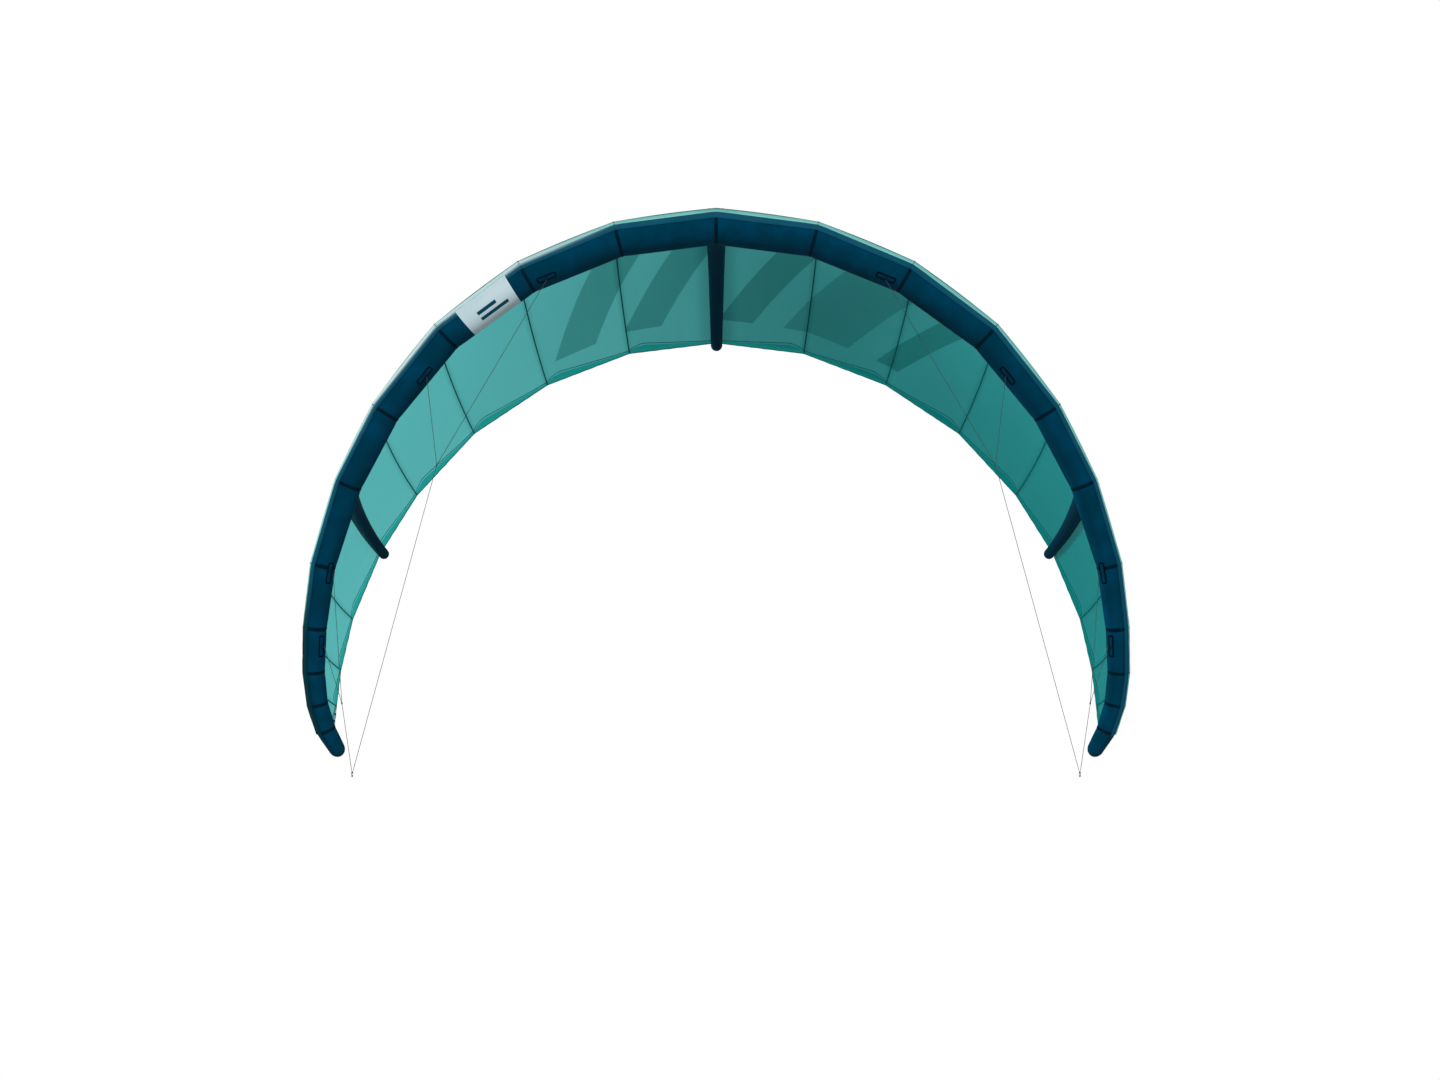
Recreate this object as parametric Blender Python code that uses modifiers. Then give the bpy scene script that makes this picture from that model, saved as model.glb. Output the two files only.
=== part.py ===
"""A three-strut inflatable kitesurf kite, inflated and in its flying shape.

Frame: +X towards the kite's right tip, +Y from the leading edge back to the trailing edge,
+Z up. The origin is the middle of the leading edge tube. Metres, with angles in degrees.
"""

from math import cos, pi, radians, sin

import bmesh
import bpy
from mathutils import Matrix, Vector

# The arc seen from the front: a straight tube segment for each panel, from the middle to a tip.
PANEL_WIDTHS = (0.535, 0.535, 0.535, 0.515, 0.425, 0.44, 0.325, 0.225, 0.165, 0.14, 0.105)
PANEL_ANGLES = (7, 21.5, 35, 49.5, 61, 71, 81, 87, 95.5, 107.5, 121)
LAST_RIB = 10
SIDE_STRUT_STATION = 5
SWEEP = 0.95

# The sheet's length from front to back at each station, as a share of the root's.
ROOT_CHORD = 1.95
CHORD_SHARES = (1.0, 0.995, 0.975, 0.93, 0.86, 0.775, 0.665, 0.565, 0.49, 0.36, 0.22)
LEAVE_ANGLES = (125, 122, 122, 117, 110, 104, 98, 94, 92, 90, 88)
FRONT_PULL = 0.21
REAR_PULL = 0.45
TRAILING_ANGLE = 12
CANOPY_THICKNESS = 0.002
CANOPY_LIFT = 0.004
PROFILE_POINTS = 12

TUBE_RADIUS = 0.0925
TUBE_TIP_RADIUS = 0.055
TUBE_END_RADIUS = 0.045
TUBE_TAPER = 1.85
TUBE_SIDES = 16
CASING_WALL = 0.002
BLADDER_WALL = 0.001
BLADDER_GAP = 0.003
BLADDER_HOLE = 0.008
CAP_STEPS = 4
TIP_CAP_SHARE = 1.15

CENTRE_STRUT_RADII = (0.064, 0.035)
SIDE_STRUT_RADII = (0.057, 0.031)
STRUT_START = 0.1
STRUT_RINGS = 9

SEAM_GAP = 0.0004
FACE_GAP = 0.0003

BRIDLE_CORD = 0.003
BRIDLE_AROUND = 226
BRIDLE_TABS = (0.973, 1.832, 3.009, 3.393)
TAB_STANDOFFS = (0.001, 0.001, 0.007, 0.001)
UPPER_JUNCTION = (1.51, 0.25, -1.27)
LOWER_JUNCTION = (2.012, 0.5, -2.53)
BRIDLE_END = (1.937, 0.45, -2.91)
KNOT_RADIUS = 0.009
CORD_STEP, CORD_POINTS = 0.03, 20
TAB_LENGTH, TAB_WIDTH, TAB_THICKNESS = 0.11, 0.026, 0.003
EAR_LENGTH, EAR_HEIGHT = 0.014, 0.024
PIGTAIL_LENGTH, PIGTAIL_WIDTH, PIGTAIL_THICKNESS = 0.032, 0.012, 0.007

HOSE_DIAMETER = 0.014
HOSE_POINTS = 16
HOSE_GAP = 0.0025
HOSE_OFFSET = 0.15
HOSE_AROUND = 5
HOSE_BEND = 0.07
VALVE_ALONG, VALVE_AROUND = 0.34, -25
LEASH_ALONG, LEASH_AROUND = 0.2, -20
VALVE_HINGE = 0.0215
REAR_TAB_LENGTH, REAR_TAB_WIDTH = 0.06, 0.03
LEASH_STANDOFF = 0.006

NAVY = (0.0, 0.03, 0.067, 1)
DARK_NAVY = (0.0, 0.012, 0.02, 1)
TEAL = (0.11, 0.45, 0.43, 1)
BLACK = (0.02, 0.02, 0.022, 1)
GREY = (0.5, 0.5, 0.5, 1)
CLEAR_TPU = (0.75, 0.8, 0.82, 1)


def clear_scene():
    for old in list(bpy.data.objects):
        bpy.data.objects.remove(old)


def new_collection(name, hidden=False):
    collection = bpy.data.collections.new(name)
    collection.hide_render = hidden
    bpy.context.scene.collection.children.link(collection)
    return collection


def material(name, colour, roughness, metallic=0.0):
    made = bpy.data.materials.new(name)
    made.use_nodes = True
    shader = made.node_tree.nodes["Principled BSDF"]
    shader.inputs["Base Color"].default_value = colour
    shader.inputs["Roughness"].default_value = roughness
    shader.inputs["Metallic"].default_value = metallic
    return made


def add_object(name, data, look, collection=None):
    made = bpy.data.objects.new(name, data)
    (collection or PARTS).objects.link(made)
    data.materials.append(look)
    return made


def mirrored(point, side):
    """The point on the side asked for: +1 is the right half and -1 the left."""
    return Vector((side * point[0], point[1], point[2]))


# ---------------------------------------------------------------- the arc


def arc_lengths():
    total = [0.0]
    for width in PANEL_WIDTHS:
        total.append(total[-1] + width)
    return total


ARC = arc_lengths()


def sweep_at(length):
    return SWEEP * (length / ARC[LAST_RIB]) ** 2


def tube_radius(length):
    beyond = length - ARC[LAST_RIB]
    if beyond > 0:
        return TUBE_TIP_RADIUS + (TUBE_END_RADIUS - TUBE_TIP_RADIUS) * beyond / PANEL_WIDTHS[LAST_RIB]
    share = length / ARC[LAST_RIB]
    return TUBE_RADIUS - (TUBE_RADIUS - TUBE_TIP_RADIUS) * share**TUBE_TAPER


def right_stations():
    """The right half's tube centres, each where two straight segments meet."""
    points = [Vector((0, 0, 0))]
    for width, angle, length in zip(PANEL_WIDTHS, PANEL_ANGLES, ARC[1:]):
        step = Vector((width * cos(radians(angle)), 0, -width * sin(radians(angle))))
        centre = points[-1] + step
        centre.y = sweep_at(length)
        points.append(centre)
    return points


STATIONS = right_stations()


def station_frame(index, side):
    """(centre, along, back, out): along runs from left to right, and out points away from the arc."""
    centre = mirrored(STATIONS[index], side)
    angles = [PANEL_ANGLES[max(index - 1, 0)], PANEL_ANGLES[min(index, len(PANEL_ANGLES) - 1)]]
    lean = radians(sum(angles) / 2) if index else 0.0
    out = Vector((side * sin(lean), 0, cos(lean)))
    before = STATIONS[index] - STATIONS[index - 1] if index else Vector((1, 0, 0))
    after = STATIONS[index + 1] - STATIONS[index] if index + 1 < len(STATIONS) else before
    along = (before.normalized() + after.normalized()).normalized() if index else Vector((1, 0, 0))
    along = Vector((along.x, side * along.y, side * along.z))
    back = out.cross(along).normalized()
    return centre, along, back, out


def panel_frame(length, side):
    """The same frame at a distance along one half's tube, inside a straight segment."""
    index = max(i for i in range(len(PANEL_WIDTHS)) if ARC[i] <= length)
    share = (length - ARC[index]) / PANEL_WIDTHS[index]
    centre = mirrored(STATIONS[index].lerp(STATIONS[index + 1], share), side)
    lean = radians(PANEL_ANGLES[index])
    out = Vector((side * sin(lean), 0, cos(lean)))
    along = (STATIONS[index + 1] - STATIONS[index]).normalized()
    along = Vector((along.x, side * along.y, side * along.z))
    back = out.cross(along).normalized()
    return centre, along, back, out


def around(frame, angle):
    """The direction out of the tube at an angle: 0 is back, 90 out of the arc, 180 forward."""
    _, _, back, out = frame
    return back * cos(radians(angle)) + out * sin(radians(angle))


# ---------------------------------------------------------------- meshes


def ring(centre, first, second, radius, sides=TUBE_SIDES):
    turns = [2 * pi * i / sides for i in range(sides)]
    return [centre + (first * cos(turn) + second * sin(turn)) * radius for turn in turns]


def skin(name, loops, look, smooth=40):
    """A closed mesh over a cycle of loops. A loop of one point is a pole."""
    mesh = bpy.data.meshes.new(name)
    shape = bmesh.new()
    rows = [[shape.verts.new(point) for point in loop] for loop in loops]
    for here, there in zip(rows, rows[1:] + rows[:1]):
        count = max(len(here), len(there))
        if min(len(here), len(there)) == count == 1:
            continue
        for i in range(count):
            j = (i + 1) % count
            corners = [here[i % len(here)], here[j % len(here)], there[j % len(there)], there[i % len(there)]]
            shape.faces.new(list(dict.fromkeys(corners)))
    bmesh.ops.recalc_face_normals(shape, faces=shape.faces)
    shape.to_mesh(mesh)
    shape.free()
    mesh.shade_smooth()
    mesh.set_sharp_from_angle(angle=radians(smooth))
    return add_object(name, mesh, look)


def end_loops(frame, direction, radius, length, hole=0.0):
    """The rings of a rounded end, from the tube outwards, closed by a pole or left with a hole."""
    centre, _, first, second = frame
    loops = []
    for step in range(1, CAP_STEPS + 1):
        turn = 0.5 * pi * step / CAP_STEPS
        middle = centre + direction * length * sin(turn)
        if step == CAP_STEPS:
            loops.append(ring(middle, first, second, hole) if hole else [middle])
        else:
            loops.append(ring(middle, first, second, radius * cos(turn)))
    return loops


def tube_shell(name, rings, wall, look, round_start=False, round_end=False, hole=0.0, cap=1.0):
    """A hollow tube. Each of rings is (centre, along, first, second, radius); ends are open or rounded."""
    layers = []
    for inset in (0.0, wall):
        loops = [ring(c, first, second, radius - inset) for c, _, first, second, radius in rings]
        if round_end:
            c, along, first, second, radius = rings[-1]
            loops += end_loops((c, along, first, second), along, radius - inset, cap * radius - inset)
        if round_start:
            c, along, first, second, radius = rings[0]
            gap = hole - inset if hole else 0.0
            start = end_loops((c, along, first, second), -along, radius - inset, cap * radius - inset, gap)
            loops = start[::-1] + loops
        layers.append(loops)
    return skin(name, layers[0] + layers[1][::-1], look)


def shifted(frame, distance):
    centre, along, back, out = frame
    return centre + along * distance, along, back, out


def tube_rings(stops, shrink=0.0, gap=SEAM_GAP):
    """Rings of the leading edge from left to right. Each stop is (station, side)."""
    rings = []
    for number, (index, side) in enumerate(stops):
        pull = gap if number == 0 else -gap if number == len(stops) - 1 else 0.0
        centre, along, back, out = shifted(station_frame(index, side), pull)
        rings.append((centre, along, back, out, tube_radius(ARC[index]) - shrink))
    return rings


def plate(name, outline, frame, thickness, look):
    """A flat outline with a thickness. The frame is (centre, x axis, y axis)."""
    centre, x_axis, y_axis = frame
    z_axis = x_axis.cross(y_axis)
    curve = bpy.data.curves.new(name, "CURVE")
    curve.dimensions = "2D"
    curve.fill_mode = "BOTH"
    curve.extrude = thickness / 2
    spline = curve.splines.new("POLY")
    spline.points.add(len(outline) - 1)
    for point, (x, y) in zip(spline.points, outline):
        point.co = (x, y, 0, 1)
    spline.use_cyclic_u = True
    made = add_object(name, curve, look)
    axes = Matrix((x_axis, y_axis, z_axis)).transposed().to_4x4()
    made.matrix_world = Matrix.Translation(centre) @ axes
    return made


def cord(name, points, diameter, look, resolution=2):
    curve = bpy.data.curves.new(name, "CURVE")
    curve.dimensions = "3D"
    curve.bevel_depth = diameter / 2
    curve.bevel_resolution = resolution
    curve.use_fill_caps = True
    spline = curve.splines.new("POLY")
    spline.points.add(len(points) - 1)
    for point, place in zip(spline.points, points):
        point.co = (*place, 1)
    return add_object(name, curve, look)


def turned(name, profile, frame, look, steps=24):
    """A turned piece about the frame's z axis. The profile is (radius, height), down its outer side."""
    centre, z_axis, x_axis = frame
    mesh = bpy.data.meshes.new(name)
    edges = [(i, i + 1) for i in range(len(profile) - 1)]
    mesh.from_pydata([(radius, 0, height) for radius, height in profile], edges, [])
    made = add_object(name, mesh, look)
    screw = made.modifiers.new("Turn", "SCREW")
    screw.steps = screw.render_steps = steps
    screw.use_merge_vertices = True
    screw.merge_threshold = 0.00001
    axes = Matrix((x_axis, z_axis.cross(x_axis), z_axis)).transposed().to_4x4()
    made.matrix_world = Matrix.Translation(centre) @ axes
    return made


def add_lug(made, size, place):
    """Joins a small block to a piece, both in the piece's own axes."""
    mesh = bpy.data.meshes.new(made.name + "_lug")
    shape = bmesh.new()
    bmesh.ops.create_cube(shape, size=1)
    bmesh.ops.scale(shape, vec=size, verts=shape.verts)
    bmesh.ops.translate(shape, vec=place, verts=shape.verts)
    shape.to_mesh(mesh)
    shape.free()
    lug = add_object(mesh.name, mesh, made.data.materials[0], CUTTERS)
    lug.matrix_world = made.matrix_world.copy()
    lug.hide_render = True
    lug.display_type = "WIRE"
    joint = made.modifiers.new("Join lug", "BOOLEAN")
    joint.operation = "UNION"
    joint.object = lug


def hang_on(made, name, place):
    """Parents a moving piece to an empty that stands on its joint's axis."""
    pivot = bpy.data.objects.get(name)
    if pivot is None:
        pivot = bpy.data.objects.new(name, None)
        PARTS.objects.link(pivot)
        pivot.location = place
        pivot.empty_display_size = 0.05
        bpy.context.view_layer.update()
    made.parent = pivot
    made.matrix_parent_inverse = Matrix.Translation(place).inverted()


# ---------------------------------------------------------------- leading edge


def leading_edge():
    tip = len(PANEL_WIDTHS)
    centre_stops = [(2, -1), (1, -1), (0, 1), (1, 1), (2, 1)]
    tube_shell("leading_edge_centre", tube_rings(centre_stops), CASING_WALL, CASING)
    for side, label in SIDES:
        for part, first, last in (("inner", 2, 5), ("outer", 5, 8), ("tip", 8, tip)):
            indices = range(first, last + 1)
            stops = [(i, side) for i in (indices if side > 0 else reversed(indices))]
            tip_end = last == tip
            tube_shell(
                f"leading_edge_{part}_{label}",
                tube_rings(stops),
                CASING_WALL,
                CASING,
                round_start=tip_end and side < 0,
                round_end=tip_end and side > 0,
                cap=TIP_CAP_SHARE,
            )
    left = [(i, -1) for i in range(tip, 0, -1)]
    right = [(i, 1) for i in range(tip + 1)]
    inner = tube_rings(left + right, shrink=CASING_WALL + BLADDER_GAP, gap=0.0)
    tube_shell("leading_edge_bladder", inner, BLADDER_WALL, BLADDER, True, True, BLADDER_HOLE)


# ---------------------------------------------------------------- canopy


def canopy_ends(index, side):
    frame = station_frame(index, side)
    centre, _, back, out = frame
    turn = LEAVE_ANGLES[index]
    start = centre + around(frame, turn) * (tube_radius(ARC[index]) + CANOPY_LIFT)
    chord = ROOT_CHORD * CHORD_SHARES[index]
    leave = back * sin(radians(turn)) - out * cos(radians(turn))
    rear = Vector((0, cos(radians(TRAILING_ANGLE)), 0)) - out * sin(radians(TRAILING_ANGLE))
    end = centre + Vector((0, chord, 0))
    return start, start + leave * FRONT_PULL * chord, end - rear * REAR_PULL * chord, end


def on_profile(corners, t):
    a, b, c, d = corners
    return a * (1 - t) ** 3 + b * 3 * t * (1 - t) ** 2 + c * 3 * t**2 * (1 - t) + d * t**3


def profile_slope(corners, t):
    a, b, c, d = corners
    slope = (b - a) * (1 - t) ** 2 + (c - b) * 2 * t * (1 - t) + (d - c) * t**2
    return slope.normalized()


def canopy_section(name, side, first, last):
    """One sewn section of the sheet, as a grid of profiles with a thickness on its outer side."""
    points = []
    stations = range(first, last + 1)
    for index in stations:
        corners = canopy_ends(index, side)
        _, along, _, _ = station_frame(index, side)
        inward = SEAM_GAP * (index == first) - SEAM_GAP * (index == last)
        shift = Vector((along.x, 0, along.z)).normalized() * side * inward
        steps = [(i / PROFILE_POINTS) ** 1.4 for i in range(PROFILE_POINTS + 1)]
        points += [on_profile(corners, t) + shift for t in steps]
    row = PROFILE_POINTS + 1
    faces = []
    for i in range(len(stations) - 1):
        for j in range(PROFILE_POINTS):
            corner = i * row + j
            square = (corner, corner + row, corner + row + 1, corner + 1)
            faces.append(square if side > 0 else square[::-1])
    mesh = bpy.data.meshes.new(name)
    mesh.from_pydata(points, [], faces)
    mesh.shade_smooth()
    made = add_object(name, mesh, CLOTH)
    thick = made.modifiers.new("Thickness", "SOLIDIFY")
    thick.thickness = CANOPY_THICKNESS
    thick.offset = 1


def canopy():
    for side, label in SIDES:
        for part, first, last in (("centre", 0, 3), ("side", 3, 6), ("tip", 6, LAST_RIB)):
            canopy_section(f"canopy_{part}_{label}", side, first, last)


# ---------------------------------------------------------------- struts


def strut_path(index, side, radii):
    """Rings of a strut that hangs under the sheet at a station, from the front to the back."""
    corners = canopy_ends(index, side)
    _, _, _, out = station_frame(index, side)
    across = Vector((0, 1, 0)).cross(out)
    rings = []
    for step in range(STRUT_RINGS):
        share = step / (STRUT_RINGS - 1)
        t = STRUT_START + (0.985 - STRUT_START) * share
        radius = radii[0] + (radii[1] - radii[0]) * share
        along = profile_slope(corners, t)
        up = along.cross(-across).normalized()
        centre = on_profile(corners, t) - up * (radius + CANOPY_LIFT)
        rings.append((centre, along, across, up, radius))
    return rings


def strut(label, index, side, radii):
    rings = strut_path(index, side, radii)
    tube_shell(f"{label}_strut_casing", rings, CASING_WALL, STRUT_CLOTH, round_end=True)
    shrink = CASING_WALL + BLADDER_GAP
    inner = [(c, along, a, b, radius - shrink) for c, along, a, b, radius in rings]
    first, second = inner[0], inner[1]
    along = (second[0] - first[0]).normalized()
    inner[0] = (first[0].lerp(second[0], 0.45), along, *first[2:])
    tube_shell(f"{label}_strut_bladder", inner, BLADDER_WALL, BLADDER, True, True, BLADDER_HOLE)
    return rings


def hose_route(index, side, rings):
    """From the back of the leading edge to the side of a strut, as a smooth curve."""
    towards_tip = -1 if index else 1
    start_length = ARC[index] + HOSE_OFFSET * towards_tip
    start_frame = panel_frame(start_length, side)
    beside = rings[1][2] * side * towards_tip
    leave = around(start_frame, HOSE_AROUND)
    start = start_frame[0] + leave * (tube_radius(start_length) + HOSE_GAP)
    centre, _, _, up, radius = rings[1]
    arrive = (beside * 0.95 - up * 0.3).normalized()
    end = centre + arrive * (radius + HOSE_GAP)
    corners = (start, start + leave * HOSE_BEND, end + arrive * HOSE_BEND, end)
    return [on_profile(corners, i / (HOSE_POINTS - 1)) for i in range(HOSE_POINTS)], corners


def hose_and_clip(label, index, side, rings):
    points, corners = hose_route(index, side, rings)
    cord(f"{label}_inflation_hose", points, HOSE_DIAMETER, HOSE, resolution=3)
    middle = on_profile(corners, 0.5)
    along = profile_slope(corners, 0.5)
    x_axis = along.cross(Vector((0, 0, 1))).normalized() * side
    y_axis = along.cross(x_axis).normalized() * side
    frame = (middle, x_axis, y_axis)
    base = (
        (-0.021, 0.0078), (-0.021, -0.0125), (0.021, -0.0125), (0.021, 0.0070),
        (0.018, 0.0070), (0.018, -0.0082), (-0.0155, -0.0082), (-0.0155, 0.0078),
    )
    jaw = ((-0.016, 0.0085), (0.021, 0.0085), (0.021, 0.0125), (-0.016, 0.0125))
    plate(f"{label}_hose_clip", base, frame, 0.011, PLASTIC)
    lid = plate(f"{label}_hose_clip_jaw", jaw, frame, 0.011, PLASTIC)
    pivot = middle + x_axis * -0.0175 + y_axis * 0.0105
    bpy.context.view_layer.update()
    hang_on(lid, f"{label}_hose_clip_pivot", pivot)


def struts():
    centre = strut("centre", 0, 1, CENTRE_STRUT_RADII)
    hose_and_clip("centre", 0, 1, centre)
    for side, label in SIDES:
        rings = strut(label, SIDE_STRUT_STATION, side, SIDE_STRUT_RADII)
        hose_and_clip(label, SIDE_STRUT_STATION, side, rings)


# ---------------------------------------------------------------- valve and leash loop


def inflate_valve():
    frame = panel_frame(VALVE_ALONG, 1)
    outward = around(frame, VALVE_AROUND)
    seat = frame[0] + outward * (tube_radius(VALVE_ALONG) + 0.0006)
    along = frame[1]
    across = outward.cross(along)
    base = ((0, 0.002), (0.012, 0.002), (0.012, 0.012), (0.017, 0.012), (0.017, 0.003), (0.028, 0.003), (0.028, 0), (0, 0))
    made = turned("inflate_valve_base", base, (seat, outward, across), PLASTIC)
    add_lug(made, (0.0055, 0.008, 0.006), (0.01875, 0, 0.0085))
    lid = ((0, 0.016), (0.019, 0.016), (0.019, 0.0125), (0.0112, 0.0125), (0.0112, 0.008), (0, 0.008))
    cap = turned("inflate_valve_cap", lid, (seat, outward, across), PLASTIC)
    add_lug(cap, (0.005, 0.006, 0.003), (0.019, 0, 0.0142))
    hinge = seat + across * VALVE_HINGE + outward * 0.0122
    bpy.context.view_layer.update()
    hang_on(cap, "inflate_valve_hinge", hinge)


def leash_loop():
    frame = panel_frame(LEASH_ALONG, -1)
    outward = around(frame, LEASH_AROUND)
    foot = frame[0] + outward * (tube_radius(LEASH_ALONG) + LEASH_STANDOFF)
    arch = (
        (-0.034, 0.0), (-0.018, 0.0), (-0.012, 0.020), (0.012, 0.020), (0.018, 0.0), (0.034, 0.0),
        (0.034, 0.003), (0.021, 0.003), (0.015, 0.023), (-0.015, 0.023), (-0.021, 0.003), (-0.034, 0.003),
    )
    plate("pump_leash_loop", arch, (foot, frame[1], outward), 0.02, WEBBING)


# ---------------------------------------------------------------- bridle


def bridle_tab(name, side, length, standoff):
    """A sewn patch with a webbing ear, and the place on the ear where its line begins."""
    frame = panel_frame(length, side)
    outward = around(frame, BRIDLE_AROUND)
    foot = frame[0] + outward * (tube_radius(length) + standoff)
    half, ear = TAB_LENGTH / 2, EAR_LENGTH / 2
    outline = (
        (-half, 0), (half, 0), (half, TAB_THICKNESS), (ear, TAB_THICKNESS),
        (ear, EAR_HEIGHT), (-ear, EAR_HEIGHT), (-ear, TAB_THICKNESS), (-half, TAB_THICKNESS),
    )
    plate(name, outline, (foot, frame[1], outward), TAB_WIDTH, WEBBING)
    return foot + outward * (EAR_HEIGHT + BRIDLE_CORD / 2 + 2 * FACE_GAP)


def straight_line(start, end, start_gap, end_gap):
    direction = (end - start).normalized()
    first, last = start + direction * start_gap, end - direction * end_gap
    count = max(2, min(CORD_POINTS, round((last - first).length / CORD_STEP)))
    return [first.lerp(last, i / (count - 1)) for i in range(count)]


def knot(name, place):
    mesh = bpy.data.meshes.new(name)
    shape = bmesh.new()
    bmesh.ops.create_uvsphere(shape, u_segments=12, v_segments=8, radius=KNOT_RADIUS)
    shape.to_mesh(mesh)
    shape.free()
    mesh.shade_smooth()
    made = add_object(name, mesh, LINE)
    made.location = place
    return made


def pigtail(name, place):
    """The loop at the bridle's end, with a flat foot where the front line's knot bears."""
    half, foot = PIGTAIL_WIDTH / 2, 0.005
    outline = (
        (0.003, 0), (half, -0.009), (half, -0.022), (foot, -PIGTAIL_LENGTH),
        (-foot, -PIGTAIL_LENGTH), (-half, -0.022), (-half, -0.009), (-0.003, 0),
    )
    frame = (place, Vector((1, 0, 0)), Vector((0, 0, 1)))
    return plate(name, outline, frame, PIGTAIL_THICKNESS, LINE)


def bridle(side, label):
    upper, lower, end = (mirrored(p, side) for p in (UPPER_JUNCTION, LOWER_JUNCTION, BRIDLE_END))
    knot_gap = KNOT_RADIUS + FACE_GAP
    ears = []
    for number, (length, standoff) in enumerate(zip(BRIDLE_TABS, TAB_STANDOFFS), 1):
        ears.append(bridle_tab(f"bridle_tab_{number}_{label}", side, length, standoff))
    moving = [
        knot(f"bridle_upper_knot_{label}", upper),
        knot(f"bridle_lower_knot_{label}", lower),
        pigtail(f"front_pigtail_{label}", end),
    ]
    for number, (ear, junction) in enumerate(zip(ears, (upper, upper, lower, lower)), 1):
        route = straight_line(ear, junction, 0.0, knot_gap)
        moving.append(cord(f"bridle_leg_{number}_{label}", route, BRIDLE_CORD, LINE))
    sides = Vector((0.003, 0, 0)) * side
    for name, junction, shift in (("upper", upper, -sides), ("lower", lower, sides)):
        route = straight_line(junction, end + shift, knot_gap, 0.004)
        moving.append(cord(f"bridle_{name}_main_{label}", route, BRIDLE_CORD, LINE))
    bpy.context.view_layer.update()
    for piece in moving:
        hang_on(piece, f"bridle_pivot_{label}", ears[0])


def rear_line_tab(side, label):
    """Webbing under the back corner of the tip, where a steering line is tied."""
    _, _, _, end = canopy_ends(LAST_RIB, side)
    _, along, _, _ = station_frame(LAST_RIB, side)
    down = (Vector((along.x, 0, along.z)) * side).normalized()
    half, flat = REAR_TAB_WIDTH / 2, 0.009
    outline = (
        (-half, 0.001), (half, 0.001), (half, 0.035), (flat, REAR_TAB_LENGTH),
        (-flat, REAR_TAB_LENGTH), (-half, 0.035),
    )
    centre = end + Vector((0, -REAR_TAB_WIDTH, 0))
    plate(f"rear_line_tab_{label}", outline, (centre, Vector((0, 1, 0)), down), 0.006, WEBBING)


clear_scene()
PARTS = new_collection("kitesurf_kite")
CUTTERS = new_collection("cutters", hidden=True)
SIDES = ((-1, "left"), (1, "right"))
CASING = material("casing_cloth", NAVY, 0.45)
STRUT_CLOTH = material("strut_cloth", DARK_NAVY, 0.5)
CLOTH = material("canopy_cloth", TEAL, 0.6)
BLADDER = material("bladder_film", CLEAR_TPU, 0.35)
PLASTIC = material("valve_plastic", BLACK, 0.4)
HOSE = material("hose_tube", CLEAR_TPU, 0.3)
WEBBING = material("webbing", BLACK, 0.8)
LINE = material("bridle_line", GREY, 0.7)

leading_edge()
canopy()
struts()
inflate_valve()
leash_loop()
for bridle_side, bridle_label in SIDES:
    bridle(bridle_side, bridle_label)
    rear_line_tab(bridle_side, bridle_label)
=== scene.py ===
"""The looks of a three-strut inflatable kitesurf kite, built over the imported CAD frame.

Metres, with angles in degrees. +X is the kite's right tip, +Y runs from the leading edge back to
the trailing edge, and +Z is up. A place on the kite is (panel, ...): panel is a signed number that
counts seams from the middle, so -2.5 is halfway between the second and third seams on the left.
"""

from math import cos, degrees, exp, pi, radians, sin, sqrt

import bmesh
import bpy
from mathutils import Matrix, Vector


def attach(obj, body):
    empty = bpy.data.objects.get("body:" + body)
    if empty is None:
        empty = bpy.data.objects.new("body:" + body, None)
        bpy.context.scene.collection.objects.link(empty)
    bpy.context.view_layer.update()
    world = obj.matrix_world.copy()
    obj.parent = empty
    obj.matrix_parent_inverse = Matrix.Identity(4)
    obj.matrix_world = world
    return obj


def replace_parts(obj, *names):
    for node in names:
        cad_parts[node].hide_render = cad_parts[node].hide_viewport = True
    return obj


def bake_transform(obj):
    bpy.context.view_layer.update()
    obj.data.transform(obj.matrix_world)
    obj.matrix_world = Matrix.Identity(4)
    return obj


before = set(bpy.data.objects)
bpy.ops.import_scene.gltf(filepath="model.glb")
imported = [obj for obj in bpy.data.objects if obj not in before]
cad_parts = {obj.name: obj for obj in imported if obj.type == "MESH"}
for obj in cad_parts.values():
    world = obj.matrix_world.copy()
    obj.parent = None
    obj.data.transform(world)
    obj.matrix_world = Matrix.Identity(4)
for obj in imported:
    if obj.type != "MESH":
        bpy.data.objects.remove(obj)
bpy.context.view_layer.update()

# The shape, as the CAD model has it.
PANEL_WIDTHS = (0.535, 0.535, 0.535, 0.515, 0.425, 0.44, 0.325, 0.225, 0.165, 0.14, 0.105)
PANEL_ANGLES = (7, 21.5, 35, 49.5, 61, 71, 81, 87, 95.5, 107.5, 121)
LAST_RIB = 10
TIP = 11
SIDE_STRUT_STATION = 5
SWEEP = 0.95
ROOT_CHORD = 1.95
CHORD_SHARES = (1.0, 0.995, 0.975, 0.93, 0.86, 0.775, 0.665, 0.565, 0.49, 0.36, 0.22)
LEAVE_ANGLES = (125, 122, 122, 117, 110, 104, 98, 94, 92, 90, 88)
SEWN_ANGLES = (130, 128, 128, 127, 125, 122, 119, 116, 111, 105, 101, 101)
STRIP_ANGLES = (164, 161, 161, 158, 155, 151, 151, 152, 152, 150, 146, 146)
FRONT_PULL = 0.21
REAR_PULL = 0.45
TRAILING_ANGLE = 12
CANOPY_LIFT = 0.004
TUBE_RADIUS = 0.0925
TUBE_TIP_RADIUS = 0.055
TUBE_END_RADIUS = 0.045
TIP_CAP_SHARE = 1.15
TUBE_TAPER = 1.85
CENTRE_STRUT_RADII = (0.064, 0.035)
SIDE_STRUT_RADII = (0.057, 0.031)
STRUT_START = 0.1
STRUT_END = 0.985
BRIDLE_CORD = 0.003
BRIDLE_AROUND = 226
BRIDLE_TABS = (0.973, 1.832, 3.009, 3.393)
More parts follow.
